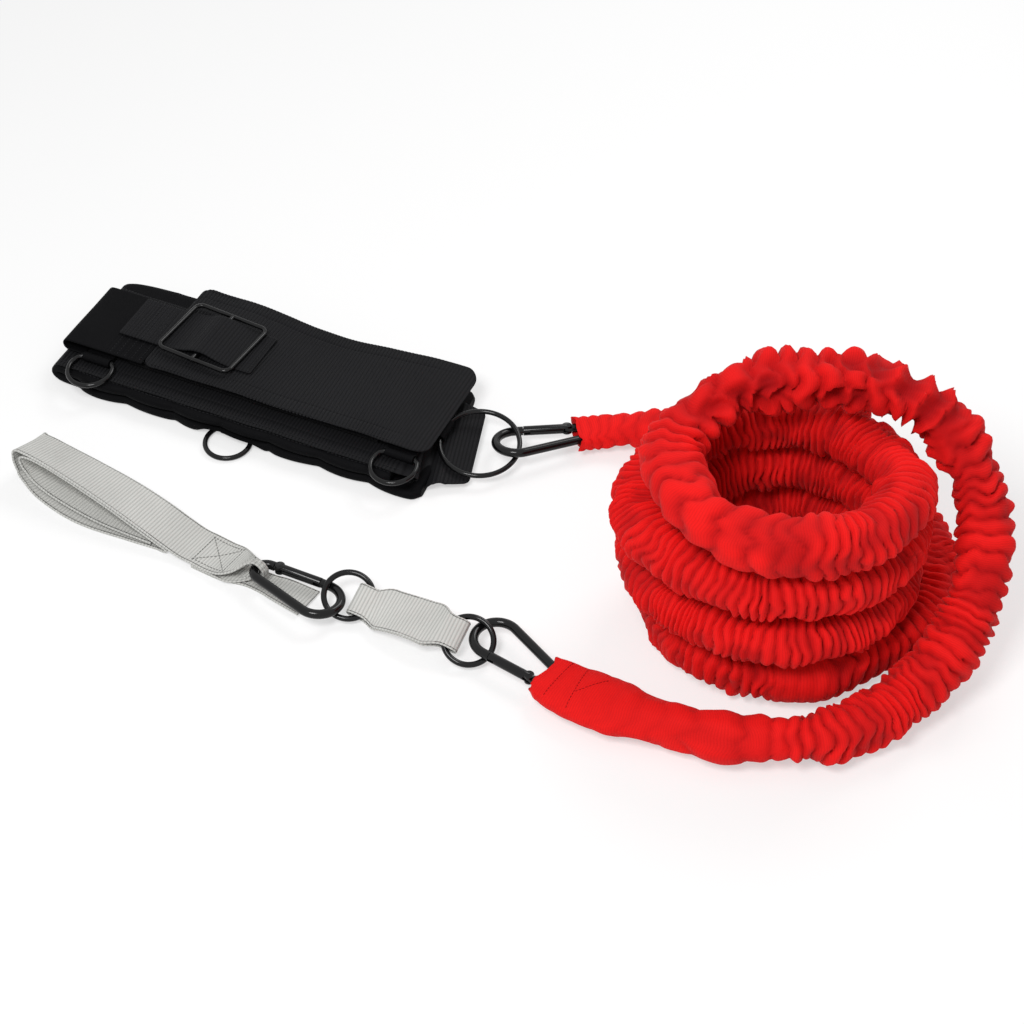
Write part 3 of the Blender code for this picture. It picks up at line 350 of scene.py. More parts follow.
def summed(tree, values, shares):
    total = calc(tree, "MULTIPLY", values[0], shares[0])
    for value, share in zip(values[1:], shares[1:]):
        total = calc(tree, "ADD", total, calc(tree, "MULTIPLY", value, share))
    return total


def blended(tree, factor, low, high):
    item = addNode(tree, "ShaderNodeMix", data_type="RGBA")
    put(tree, factor, item.inputs[0])
    put(tree, (*low, 1), item.inputs[6])
    put(tree, (*high, 1), item.inputs[7])
    return item.outputs[2]


def grain(tree, vector, scale, detail=3.0, rough=0.6):
    item = addNode(tree, "ShaderNodeTexNoise")
    put(tree, vector, item.inputs["Vector"])
    put(tree, scale, item.inputs["Scale"])
    item.inputs["Detail"].default_value = detail
    item.inputs["Roughness"].default_value = rough
    return item.outputs[0]


def shaderGroup(name, inputs, outputs):
    tree = bpy.data.node_groups.new(name, "ShaderNodeTree")
    for label, value in inputs:
        kind = "NodeSocketVector" if value is None else "NodeSocketFloat"
        socket = tree.interface.new_socket(label, in_out="INPUT", socket_type=kind)
        if value is not None:
            socket.default_value = value
    for label in outputs:
        tree.interface.new_socket(label, in_out="OUTPUT", socket_type="NodeSocketFloat")
    return tree, tree.nodes.new("NodeGroupInput"), tree.nodes.new("NodeGroupOutput")


def split(tree, vector):
    axes = addNode(tree, "ShaderNodeSeparateXYZ")
    tree.links.new(vector, axes.inputs[0])
    return axes.outputs[0], axes.outputs[1]


# Grain sizes are counts per metre; each list of shares adds up a height or a shade
ribbed = {"wobble": 90.0, "fuzz": 1900.0, "roundness": 0.7, "height": (1.0, 0.35, 0.25), "shade": (0.5, 0.18, 0.35)}
plain = {"fuzz": 1500.0, "slow": 25.0, "shade": (0.6, 0.4)}
paint = {"slow": 160.0, "fine": 1400.0, "scuffFrom": 0.36, "height": (0.7, 0.3), "scuff": (0.3, 1.0)}


def ribbedWeave():
    # ribs across the cloth's run, each crossed by yarns that swap from rib to rib; its Shade is painted shade, darker
    # down between the ribs and the yarns, with a random fuzz of tone
    tree, start, end = shaderGroup("ribbedWeave", [("Vector", None), ("Rib Pitch", 0.002), ("Yarn Pitch", 0.0007),
                                                   ("Unevenness", 0.3)], ["Height", "Shade"])
    vector, ribPitch = start.outputs["Vector"], start.outputs["Rib Pitch"]
    along, across = split(tree, vector)
    wobble = calc(tree, "MULTIPLY", calc(tree, "SUBTRACT", grain(tree, vector, ribbed["wobble"], 2.0), 0.5),
                  calc(tree, "MULTIPLY", start.outputs["Unevenness"], ribPitch))
    run = calc(tree, "DIVIDE", calc(tree, "ADD", along, wobble), ribPitch)
    rib = calc(tree, "POWER", ridges(tree, run), ribbed["roundness"])
    side = calc(tree, "DIVIDE", across, start.outputs["Yarn Pitch"])
    yarn = ridges(tree, calc(tree, "ADD", side, byTurns(tree, run)))
    fuzz = grain(tree, vector, ribbed["fuzz"], 2.0, 0.7)
    height = summed(tree, (rib, calc(tree, "MULTIPLY", yarn, rib), fuzz), ribbed["height"])
    tree.links.new(height, end.inputs["Height"])
    # painted shade: lighter on rib and yarn tops, darker between them, plus random fuzz tone
    tree.links.new(summed(tree, (rib, yarn, fuzz), ribbed["shade"]), end.inputs["Shade"])
    return tree


def plainWeave():
    # fine warp and weft, with a slow change of tone; its Shade is painted shade, lighter where warp and weft cross
    # high, with the slow tone and a random fuzz
    tree, start, end = shaderGroup("plainWeave", [("Vector", None), ("Yarn Pitch", 0.0008), ("Fuzz", 0.4)],
                                   ["Height", "Shade"])
    vector, pitch = start.outputs["Vector"], start.outputs["Yarn Pitch"]
    across, down = [calc(tree, "DIVIDE", axis, pitch) for axis in split(tree, vector)]
    warp = ridges(tree, across)
    weft = ridges(tree, calc(tree, "ADD", down, byTurns(tree, across)))
    fuzz = calc(tree, "MULTIPLY", grain(tree, vector, plain["fuzz"], 3.0, 0.7), start.outputs["Fuzz"])
    height = calc(tree, "ADD", calc(tree, "MULTIPLY", warp, weft), fuzz)
    slow = grain(tree, vector, plain["slow"], 3.0)
    tree.links.new(height, end.inputs["Height"])
    # painted shade from the weave's height, with a slow random tone
    tree.links.new(summed(tree, (height, slow), plain["shade"]), end.inputs["Shade"])
    return tree


def wornPaint():
    # tiny runs and scuffs in a painted coat
    tree, start, end = shaderGroup("wornPaint", [("Vector", None), ("Scuffs", 0.5)], ["Height", "Scuff"])
    slow = grain(tree, start.outputs["Vector"], paint["slow"], 4.0)
    fine = grain(tree, start.outputs["Vector"], paint["fine"], 3.0, 0.75)
    spots = calc(tree, "GREATER_THAN", calc(tree, "MULTIPLY", slow, fine), paint["scuffFrom"])
    scuff = calc(tree, "MULTIPLY", spots, start.outputs["Scuffs"])
    tree.links.new(summed(tree, (slow, fine), paint["height"]), end.inputs["Height"])
    tree.links.new(summed(tree, (fine, scuff), paint["scuff"]), end.inputs["Scuff"])
    return tree


ribbedGroup, plainGroup, paintGroup = ribbedWeave(), plainWeave(), wornPaint()


def placed(tree, group, **values):
    item = addNode(tree, "ShaderNodeGroup", node_tree=group)
    for label, value in values.items():
        put(tree, value, item.inputs[label])
    return item


def newMaterial(name, look):
    finish = bpy.data.materials.new(name)
    finish.use_nodes = True
    tree = finish.node_tree
    shader = tree.nodes["Principled BSDF"]
    for label, value in look.items():
        shader.inputs[label].default_value = value
    return finish, tree, shader


def bumped(tree, shader, height, depth):
    bump = addNode(tree, "ShaderNodeBump")
    bump.inputs["Strength"].default_value = 1
    bump.inputs["Distance"].default_value = depth * mm
    tree.links.new(height, bump.inputs["Height"])
    tree.links.new(bump.outputs[0], shader.inputs["Normal"])


def clothMaterial(name, look):
    finish, tree, shader = newMaterial(name, {"Roughness": look["roughness"], "Sheen Weight": look["sheen"],
                                              "Sheen Roughness": 0.5, "Specular IOR Level": look["gloss"]})
    vector = addNode(tree, "ShaderNodeUVMap", uv_map="cloth").outputs[0]
    if look["ribs"]:
        weave = placed(tree, ribbedGroup, **{"Vector": vector, "Rib Pitch": look["ribs"] * mm,
                                             "Yarn Pitch": look["yarn"] * mm, "Unevenness": look["uneven"]})
    else:
        weave = placed(tree, plainGroup, **{"Vector": vector, "Yarn Pitch": look["yarn"] * mm, "Fuzz": 0.5})
    # the weave's painted shade between ribs and yarns, with its random tone, in the share each look gives
    shade = calc(tree, "MULTIPLY_ADD", weave.outputs["Shade"], look["weaveShadeAndTone"], 1 - look["weaveShadeAndTone"])
    # painted shade: the colour is darkened in creases by the "fold" attribute
    if "fold" in look:
        creaseShade = addNode(tree, "ShaderNodeAttribute", attribute_name="fold").outputs["Fac"]
        shade = calc(tree, "MULTIPLY", shade, calc(tree, "MULTIPLY_ADD", creaseShade, look["fold"], 1 - look["fold"]))
    body = addNode(tree, "ShaderNodeTexCoord").outputs["Object"]
    tone = grain(tree, body, look["patch"], 3.0)
    shade = calc(tree, "MULTIPLY", shade, calc(tree, "MULTIPLY_ADD", tone, 0.5, 0.75))
    tree.links.new(blended(tree, shade, look["deep"], look["light"]), shader.inputs["Base Color"])
    bumped(tree, shader, weave.outputs["Height"], look["relief"])
    return finish


def threadMaterial(name, colour):
    finish, tree, shader = newMaterial(name, {"Roughness": 0.7, "Specular IOR Level": 0.15})
    body = addNode(tree, "ShaderNodeTexCoord").outputs["Object"]
    twist = addNode(tree, "ShaderNodeTexWave")
    put(tree, body, twist.inputs["Vector"])
    twist.inputs["Scale"].default_value = 900
    twist.inputs["Distortion"].default_value = 3
    # painted shade: the thread is darker down in its twist's grooves, where the bump is low
    low = tuple(c * 0.6 for c in colour)
    tree.links.new(blended(tree, twist.outputs["Fac"], low, colour), shader.inputs["Base Color"])
    bumped(tree, shader, twist.outputs["Fac"], 0.08)
    return finish


def metalMaterial(name, look):
    finish, tree, shader = newMaterial(name, {"Metallic": look["metal"], "Coat Weight": look["coat"],
                                              "Coat Roughness": look["coatRoughness"],
                                              "Specular IOR Level": look["gloss"]})
    body = addNode(tree, "ShaderNodeTexCoord").outputs["Object"]
    wear = placed(tree, paintGroup, **{"Vector": body, "Scuffs": look["scuffs"]})
    tree.links.new(blended(tree, wear.outputs["Scuff"], look["base"], look["worn"]), shader.inputs["Base Color"])
    rough = calc(tree, "MULTIPLY_ADD", wear.outputs["Scuff"], look["roughSpan"], look["roughness"])
    tree.links.new(rough, shader.inputs["Roughness"])
    bumped(tree, shader, wear.outputs["Height"], look["relief"])
    return finish


# the sleeve's "fold" share sets how dark its painted crease shade gets
redCloth = clothMaterial("redSleeveCloth", {
    "light": (0.93, 0.012, 0.011), "deep": (0.20, 0.001, 0.004), "ribs": 1.85, "yarn": 0.62, "uneven": 0.35,
    "fold": 0.72, "weaveShadeAndTone": 0.35, "patch": 14.0, "roughness": 0.75, "sheen": 0.03, "gloss": 0.10, "relief": 0.09})
greyWebbing = clothMaterial("greyWebbing", {
    "light": (0.70, 0.70, 0.67), "deep": (0.16, 0.16, 0.15), "ribs": 2.6, "yarn": 0.75, "uneven": 0.0, "weaveShadeAndTone": 0.8,
    "patch": 18.0, "roughness": 0.8, "sheen": 0.08, "gloss": 0.2, "relief": 0.10})
blackWebbing = clothMaterial("blackWebbing", {
    "light": (0.0160, 0.0160, 0.0175), "deep": (0.0003, 0.0003, 0.0004), "ribs": 2.9, "yarn": 0.7, "uneven": 0.0,
    "weaveShadeAndTone": 1.0, "patch": 16.0, "roughness": 0.5, "sheen": 0.0, "gloss": 0.05, "relief": 0.12})
blackCloth = clothMaterial("smoothBlackCloth", {
    "light": (0.0058, 0.0058, 0.0066), "deep": (0.0008, 0.0008, 0.0010), "ribs": 0, "yarn": 0.55, "uneven": 0.0,
    "weaveShadeAndTone": 1.0, "patch": 20.0, "roughness": 0.62, "sheen": 0.0, "gloss": 0.04, "relief": 0.05})
blackPile = clothMaterial("touchPile", {
    "light": (0.008, 0.008, 0.009), "deep": (0.001, 0.001, 0.0012), "ribs": 0, "yarn": 1.3, "uneven": 0.0,
    "weaveShadeAndTone": 1.0, "patch": 30.0, "roughness": 0.9, "sheen": 0.02, "gloss": 0.05, "relief": 0.5})
redThread = threadMaterial("redThread", (0.42, 0.004, 0.006))
# the grey thread is made much darker than its webbing: painted shade for the dimples the stitches sink into
shadowedGreyThread = threadMaterial("shadowedGreyThread", (0.30, 0.30, 0.29))
blackThread = threadMaterial("blackThread", (0.016, 0.016, 0.018))
blackPaint = metalMaterial("blackPaint", {
    "base": (0.0025, 0.0025, 0.0028), "worn": (0.010, 0.010, 0.011), "metal": 0.0, "gloss": 0.05, "coat": 0.42,
    "coatRoughness": 0.07, "scuffs": 0.2, "roughness": 0.2, "roughSpan": 0.3, "relief": 0.012})
bareSteel = metalMaterial("bareSteel", {
    "base": (0.55, 0.55, 0.55), "worn": (0.35, 0.34, 0.33), "metal": 1.0, "gloss": 0.5, "coat": 0.0,
    "coatRoughness": 0.1, "scuffs": 0.4, "roughness": 0.25, "roughSpan": 0.3, "relief": 0.01})
print("materials built")


def painted(item, material):
    item.data.materials.clear()
    item.data.materials.append(material)


def ridden(item, body, slot, *nodes):
    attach(item, body)
    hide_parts(*nodes)


def placedOn(item, material, slot, *nodes):
    painted(item, material)
    ridden(item, root, slot, *nodes)


# The sleeve over its elastic cord lies along the source's own route, from the sleeve hook's eye to the belt hook's:
# points along its middle, in millimetres

sleeveRoute = [
    (182.1, -209.2, 13.9), (197.4, -221.9, 13.1), (214.3, -232.4, 14.3), (231.7, -242.3, 15.7),
    (249.5, -251.3, 17.0), (267.8, -259.4, 17.9), (286.3, -266.9, 19.0), (305.5, -272.3, 20.0),
    (325.5, -272.3, 20.0), (345.5, -272.3, 20.0), (365.6, -272.2, 20.0), (385.1, -268.2, 20.0),
    (402.9, -259.2, 20.2), (419.1, -247.4, 20.6), (434.7, -235.1, 22.1), (449.9, -223.9, 28.8),
    (462.9, -211.8, 37.9), (473.7, -198.6, 48.4), (481.7, -184.5, 60.1), (487.1, -169.9, 72.6),
    (490.2, -154.9, 85.5), (490.2, -140.2, 99.0), (486.5, -126.5, 113.1), (479.6, -114.7, 127.7),
    (469.6, -104.5, 141.6), (457.0, -95.1, 153.9), (440.8, -88.0, 163.3), (422.5, -83.2, 169.9),
    (403.2, -80.3, 173.9), (383.3, -79.1, 175.8), (363.3, -79.3, 176.0), (343.3, -80.1, 174.6),
    (323.7, -82.6, 172.1), (305.2, -89.3, 168.1), (289.1, -99.9, 163.0), (276.2, -114.1, 157.5),
    (269.5, -132.0, 152.7), (272.6, -151.6, 150.4), (279.4, -170.3, 149.1), (289.0, -187.8, 148.3),
    (304.0, -201.0, 148.4), (321.6, -210.5, 148.4), (341.0, -215.2, 148.4), (361.0, -215.5, 148.4),
    (380.7, -212.8, 148.4), (399.1, -204.9, 148.4), (413.4, -191.1, 147.7), (423.2, -173.9, 145.6),
    (427.5, -154.8, 141.4), (426.1, -135.7, 136.2), (421.1, -116.9, 131.2), (412.4, -99.3, 127.9),
    (399.5, -84.1, 126.1), (383.2, -72.6, 125.0), (364.8, -65.0, 124.0), (345.1, -61.9, 122.3),
    (325.3, -62.7, 119.9), (305.9, -66.7, 117.3), (288.1, -75.3, 114.4), (272.7, -87.8, 111.8),
    (260.5, -103.4, 109.5), (252.5, -121.6, 107.3), (250.6, -141.4, 105.8), (255.8, -160.6, 105.5),
    (266.5, -177.3, 105.6), (281.1, -191.0, 105.6), (297.8, -202.1, 105.6), (316.0, -210.2, 105.6),
    (335.6, -214.2, 105.6), (355.6, -214.6, 105.6), (375.3, -211.0, 105.6), (393.5, -202.8, 105.6),
    (409.1, -190.4, 105.1), (421.1, -174.6, 103.0), (428.6, -156.5, 99.0), (431.1, -137.4, 93.9),
    (428.5, -118.2, 89.1), (420.6, -100.2, 85.7), (408.1, -84.7, 83.7), (392.1, -72.9, 82.6),
    (373.6, -65.3, 81.6), (354.0, -62.2, 80.3), (334.1, -62.5, 78.2), (314.5, -65.6, 75.6),
    (296.0, -72.6, 72.8), (279.8, -84.0, 69.9), (266.9, -99.0, 67.5), (257.5, -116.5, 65.2),
    (253.7, -136.0, 63.3), (256.5, -155.6, 62.7), (265.3, -173.6, 62.8), (278.3, -188.7, 62.8),
    (294.2, -200.9, 62.8), (311.5, -210.9, 62.8), (330.4, -217.3, 62.8), (350.3, -219.1, 62.8),
    (370.1, -216.1, 62.8), (388.5, -208.5, 62.8), (404.5, -196.6, 62.6), (417.2, -181.2, 61.2),
    (425.6, -163.4, 57.9), (429.3, -144.4, 53.1), (428.4, -125.1, 47.9), (422.6, -106.5, 43.9),
    (412.3, -89.6, 41.4), (398.0, -75.7, 40.1), (380.6, -65.8, 39.1), (361.4, -60.5, 38.1),
    (341.5, -60.0, 36.3), (322.1, -63.9, 33.9), (304.1, -72.1, 31.0), (288.7, -84.4, 27.9),
    (277.0, -100.3, 25.1), (270.1, -118.8, 22.4), (268.7, -138.6, 20.2), (272.5, -158.2, 20.0),
    (281.1, -176.2, 20.0), (293.7, -191.7, 20.0), (309.8, -203.5, 20.0), (328.3, -211.1, 20.0),
    (348.0, -214.3, 20.0), (368.0, -213.3, 20.0), (386.6, -206.0, 20.0), (403.9, -196.0, 20.0),
    (420.9, -185.4, 20.0), (437.9, -174.9, 20.0), (452.0, -160.8, 20.0), (462.4, -143.7, 20.0),
    (467.6, -124.5, 20.0), (467.8, -104.5, 20.0), (463.0, -85.1, 20.0), (454.9, -66.8, 20.0),
    (445.1, -49.4, 20.0), (432.9, -33.6, 20.0), (416.8, -21.7, 20.0), (399.0, -12.6, 20.0),
    (380.6, -4.8, 20.0), (362.2, 3.2, 20.0), (343.9, 11.2, 20.0), (325.1, 18.0, 20.0), (306.2, 24.7, 19.6),
    (287.4, 31.4, 18.8), (268.2, 36.9, 17.8), (248.7, 40.9, 15.6), (229.1, 41.8, 12.1), (209.6, 38.1, 13.4)]

# Each list holds (distance along the route, value there), in millimetres
sleeve = {
    "length": 2.903, "diameter": 0.0454, "around": 40, "rowsPerGather": 6.4, "longestRow": 2.2,
    "sample": 0.5, "girth": 138.0, "flatEnd": 76, "otherTurn": 95, "touching": 66, "squeeze": 0.25, "floorRoom": 0.3,
    "endFrill": 2.2, "lip": ((0.86, 0.6), (0.62, 3), (0.3, 6)),
    # ripples: strength, how often round the sleeve, how many gathers long, seed
    "wander": [(0.55, 1.15, 3.2, 1), (0.22, 2.4, 1.5, 2)], "frilling": (4.5, 1.2, 1.5, 9),
    "fullness": (0.5, 1.3, 1.7, 3), "shallows": (1.4, 1.0, 5.0, 4), "leaning": (0.26, 1.6, 2.2, 7),
    "width": [(0, 36), (9, 42), (35, 46.5), (60, 46), (85, 40), (112, 33), (130, 36), (148, 39), (165, 37.5), (180, 35),
              (192, 41), (206, 45.6), (470, 45.6), (520, 47), (660, 47), (720, 45.4), (2740, 45), (2800, 44),
              (2835, 40), (2862, 32), (2885, 31), (2903, 32)],
    "height": [(0, 11), (18, 14), (45, 20), (76, 28), (112, 29), (148, 34), (176, 32), (192, 37), (206, 40.4),
               (470, 41), (520, 45), (660, 45), (720, 40.2), (2740, 39.6), (2800, 37), (2840, 30), (2868, 18),
               (2903, 13)],
    "depth": [(0, 1.4), (25, 0.6), (76, 1.2), (150, 3.0), (180, 3.6), (196, 7.6), (440, 7.6), (490, 13.5), (670, 13.5),
              (730, 7.5), (860, 7.0), (900, 7.2), (1840, 6.8), (2340, 6.4), (2480, 6.8), (2750, 6.2), (2800, 4.8),
              (2850, 3.0), (2903, 2.0)],
    "pitch": [(0, 8), (20, 14), (76, 24), (150, 26), (178, 18), (196, 9), (440, 10), (490, 16), (660, 16), (715, 10),
              (760, 17), (840, 18), (875, 7), (1000, 5.8), (1840, 5.8), (2330, 7), (2480, 8.5), (2740, 9), (2800, 13),
              (2860, 11), (2903, 7)],
    "pointed": [(0, 0), (460, 0), (505, 1), (655, 1), (705, 0), (2903, 0)],
    "puff": [(0, 0.2), (50, 1.0), (95, 3.6), (180, 4.0), (200, 1.4), (700, 1.6), (780, 3.0), (860, 2.6), (900, 1.0),
             (2300, 1.2), (2400, 2.2), (2700, 1.4), (2800, 2.6), (2903, 0.3)],
    "bare": [(0, 0), (2318, 0), (2328, 0.7), (2340, 0.0), (2388, 0.0), (2400, 0.8), (2424, 0.8), (2436, 0),
             (2903, 0)],
}


def buildSleeve():
    curve = curveThrough(sleeveRoute)
    total = runOf(curve)[-1]
    sample = sleeve["sample"]
    fine = np.arange(0, total, sample)
    # no two gathers are the same length
    uneven = noiseAt(fine / 31, 0, 0.5, 21) + 0.6 * noiseAt(fine / 13, 0, 1.5, 22)
    pitch = keyed(fine, sleeve["pitch"]) * np.clip(1 + 0.42 * uneven, 0.6, 1.7)
    gathers = np.cumsum(sample / pitch)
    rows = np.cumsum(sample * np.maximum(sleeve["rowsPerGather"] / pitch, 1 / sleeve["longestRow"]))
    s = np.interp(np.linspace(rows[0], rows[-1], int(rows[-1])), rows, fine)
    s[0], s[-1] = 0, total
    centre = sampled(curve, s)
    tangent = unit(sampled(curve, np.minimum(s + 6, total)) - sampled(curve, np.maximum(s - 6, 0)))
    side = unit(np.cross(tangent, (0, 0, 1)))
    up = np.cross(side, tangent)
    theta = np.arange(sleeve["around"]) * 2 * math.pi / sleeve["around"]
    c, w = np.cos(theta)[None, :], np.sin(theta)[None, :]
    count = np.interp(s, fine, gathers)[:, None]
    run = s[:, None]
    width, height, depth, spacing, pointed, swell, bare = [
        keyed(s, sleeve[key])[:, None] for key in ("width", "height", "depth", "pitch", "pointed", "puff", "bare")]

    def ripple(strength, across, along, seed):
        return strength * noiseAt(c * across, w * across, count / along, seed)

    # the gathers wander round the sleeve, fork and die out
    turned = count
    for wander in sleeve["wander"]:
        turned = turned + ripple(*wander)
    wave = np.abs(np.sin(math.pi * turned))
    # at the back some gathers stand up as frills between rounder ones
    frilled = pointed * np.clip(0.35 + ripple(*sleeve["frilling"]), 0, 1)
    ridge = wave ** 0.5 * (1 - frilled) + (1 - wave ** 0.8) * frilled
    amount = np.clip(0.82 + ripple(*sleeve["fullness"]), 0.4, 1.08)
    low = np.clip(ripple(*sleeve["shallows"]), -1, 1)
    puff = noiseAt(c * 1.2, w * 1.2, run / 27, 5) * swell
    crease = noiseAt(c * 4, w * 4, run / 5, 6)
    depth = depth * (1 - bare)
    cut = depth * (1 - ridge * amount) * (1 + 0.25 * low) - puff + 0.55 * crease * np.minimum(1, depth / 4)
    cut = np.maximum(cut, -1.4 - 0.6 * swell)
    corner = 0.5 + 0.5 * np.clip(np.minimum(s, (total - s) * 1.5) / sleeve["flatEnd"], 0, 1)[:, None]
    x = np.sign(c) * np.abs(c) ** corner * width / 2
    y = np.sign(w) * np.abs(w) ** corner * height / 2
    shrink = 1 - cut / (width / 2)
    lean = spacing * ripple(*sleeve["leaning"]) * np.clip(depth / 4, 0, 1)
    frill = np.exp(-np.minimum(s, total - s) / 3)[:, None] * noiseAt(c * 3, w * 3, 4, 8) * sleeve["endFrill"]
    points = (centre[:, None] + side[:, None] * (x * shrink)[..., None] + up[:, None] * (y * shrink)[..., None]
              + tangent[:, None] * (lean + frill)[..., None])

    # turns that touch flatten against each other, and the lowest against the floor
    marks = centre[::5]
    for i in range(len(s)):
        apart = marks - centre[i]
        gap = np.linalg.norm(apart, axis=1)
        near = (np.abs(s[::5] - s[i]) > sleeve["otherTurn"]) & (gap < sleeve["touching"])
        if near.any():
            way = apart[near] / gap[near, None]
            reach = (points[i] - centre[i]) @ way.T
            room = gap[near][None, :] / 2 - sleeve["squeeze"]
            scale = np.min(np.where(reach > room, room / np.maximum(reach, 1e-6), 1), axis=1)
            points[i] = centre[i] + (points[i] - centre[i]) * scale[:, None]
    points[..., 2] = np.maximum(points[..., 2], sleeve["floorRoom"] + 0.15 * wave)

    # each end has a lip that turns in
    ends = []
    for row, way in ((0, 1), (-1, -1)):
        lip = points[row]
        middle = lip.mean(axis=0)
        ends.append([middle + (lip - middle) * share + tangent[row] * way * deep for share, deep in sleeve["lip"]])
    points = np.concatenate([ends[0][::-1], points, ends[1]])
    steps = np.linalg.norm(np.diff(points, axis=0), axis=2).mean(axis=1)
    girth = np.arange(sleeve["around"] + 1) * sleeve["girth"] / sleeve["around"]
    item = gridPiece("sleeve", points, clothUv(np.concatenate([[0], np.cumsum(steps)]), girth))
    # painted shade: the cloth's colour is made darker down in the creases and within the turned-in lips, where shade
    # falls; the "fold" attribute carries it
    fold = 1 - (1 - np.clip(ridge * amount * 1.15, 0, 1)) * np.clip(depth / 5, 0, 1)
    lipShade = [np.repeat(row, len(sleeve["lip"]), 0) * 0.4 for row in (fold[:1], fold[-1:])]
    mark = item.data.attributes.new("fold", "FLOAT", "POINT")
    mark.data.foreach_set("value", np.concatenate([lipShade[0], fold, lipShade[1]]).astype(np.float32).ravel())
    placedOn(item, redCloth, "red_sleeve", "sleeve_lead", "sleeve_coil", "sleeve_tail", "elastic_core",
             "front_sewn_end", "rear_sewn_end")
    return item


sleevePiece = buildSleeve()
print("sleeve gathered:", len(sleevePiece.data.vertices), "points")


# Places: the belt has its own axes, the rest is in the scene's

beltTurn = math.radians(-24.5)
beltFrame = Matrix.Translation((-45.45, 90.74, 0.01)) @ Matrix.Rotation(beltTurn, 4, "Z")


def moved(matrix, points):
    m = np.array(matrix)
    return np.array(points, float) @ m[:3, :3].T + m[:3, 3]


def arc(centre, radius, first, last, count):
    a = np.linspace(first, last, count + 1)
    return [(centre[0] + radius * math.cos(t), centre[1] + radius * math.sin(t), 0) for t in a]


# Rings

roundRings = {
    "big_ring": {"place": (134.55, 24.84, 15.9), "lean": 9.9, "turn": -88.9, "radius": 31, "wire": 4},
    "anchor_ring": {"place": (40.85, -132.86, 12.9), "lean": 23.1, "turn": -83.6, "radius": 18, "wire": 4.4},
    "sleeve_ring": {"place": (128.55, -177.26, 13.3), "lean": 24.9, "turn": -83.8, "radius": 18, "wire": 4.4},
}
dRings = {"wire": 4, "radius": 17.8, "bar": 28, "corner": 3,
          "places": {"left_ring": (-123, -31, 23.45, 5.5), "corner_ring": (145, -30, 23.45, 5.5),
                     "under_ring": (6, -42, 3.65, 2.97)}}


def ringAxes(name):
    # the way a round ring's axis points, a level line across it and the line up its slope
    lean, turn = [math.radians(roundRings[name][key]) for key in ("lean", "turn")]
    axis = Vector((math.sin(lean) * math.cos(turn), math.sin(lean) * math.sin(turn), math.cos(lean)))
    level = axis.cross(Vector((0, 0, 1))).normalized()
    return axis, level, axis.cross(level)


def buildRings():
    for name, ring in roundRings.items():
        axis, level, up = ringAxes(name)
        place = Matrix.Translation(ring["place"]) @ Matrix((level, up, axis)).transposed().to_4x4()
        line = moved(place, arc((0, 0), ring["radius"], 0, 2 * math.pi, 96)[:-1])
        ridden(wirePiece(name + "_wire", [(line, True)], ring["wire"], blackPaint), name, "black_metal", name)
    radius, bar, corner = dRings["radius"], dRings["bar"], dRings["corner"]
    below = math.sqrt(radius ** 2 - (bar / 2) ** 2)
    start, first = math.asin(below / radius), corner / radius
    # from the straight bar into the round bend
    turnIn = [(bar / 2 - corner, 0, 0), (bar / 2 - corner * 0.55, -0.12, 0), (bar / 2 - corner / 4, -corner / 5, 0),
              (bar / 2 + 0.05 * corner, -0.55 * corner, 0)]
    bend = arc((0, -below), radius, start - first, -math.pi - start + first, 60)
    line = turnIn + bend + [(-x, y, z) for x, y, z in reversed(turnIn)]
    for name, (x, y, z, lean) in dRings["places"].items():
        place = beltFrame @ Matrix.Translation((x, y, z)) @ Matrix.Rotation(math.radians(lean), 4, "X")
        item = wirePiece(name + "_wire", [(moved(place, line), True)], dRings["wire"], blackPaint)
        ridden(item, name, "black_metal", name)


buildRings()
print("rings bent")


# Slide buckle: a rounded frame of wire with a bar across its middle

buckle = {"place": (-45, 19, 35.2), "turn": -5, "length": 33.2, "width": 29.2, "corner": 6, "wire": 3.6}


def buildBuckle():
    line = []
    for sx, sy, first in ((1, 1, 0), (-1, 1, 1), (-1, -1, 2), (1, -1, 3)):
        middle = (sx * (buckle["length"] - buckle["corner"]), sy * (buckle["width"] - buckle["corner"]))
        line += arc(middle, buckle["corner"], first * math.pi / 2, (first + 1) * math.pi / 2, 10)
    bar = [(0, buckle["width"] * t, 0) for t in np.linspace(-1, 1, 9)]
    place = beltFrame @ Matrix.Translation(buckle["place"]) @ Matrix.Rotation(math.radians(buckle["turn"]), 4, "Z")
    item = wirePiece("slide_buckle_wire", [(moved(place, line), True), (moved(place, bar), False)], buckle["wire"],
                     blackPaint)
    ridden(item, root, "black_metal", "slide_buckle")


buildBuckle()


# Snap hooks: a pear-shaped wire, narrow at its eye, with a gate that turns on a pin

hook = {"wire": 7, "narrow": 9, "wide": 16.5, "reach": 47.5, "gate": 7.5, "pivot": 6.5, "gateEnd": 40.5,
        "noseGap": 0.5, "ear": (5.6, 2.6), "earRoot": 2.4, "tongue": (4.5, 4.6, 2.0), "tongueRoot": 2, "room": 0.3,
        "edge": 0.35, "knuckle": (0.9, 0.985), "bore": (2.2, 13), "clear": 18,
        "places": {"belt_hook": ((163.55, 26.64, 15.5), (192.5, -2.5, 194)),
                   "anchor_hook": ((19.15, -136.96, 13.5), (-6.6, 0.4, -33.5)),
                   "sleeve_hook": ((148.55, -175.66, 13.2), (0.5, 0.9, 135))}}


def hookPlace(name):
    place, (roll, pitch, heading) = hook["places"][name]
    turn = Euler([math.radians(a) for a in (roll, pitch, heading)]).to_matrix().to_4x4()
    return Matrix.Translation(place) @ turn


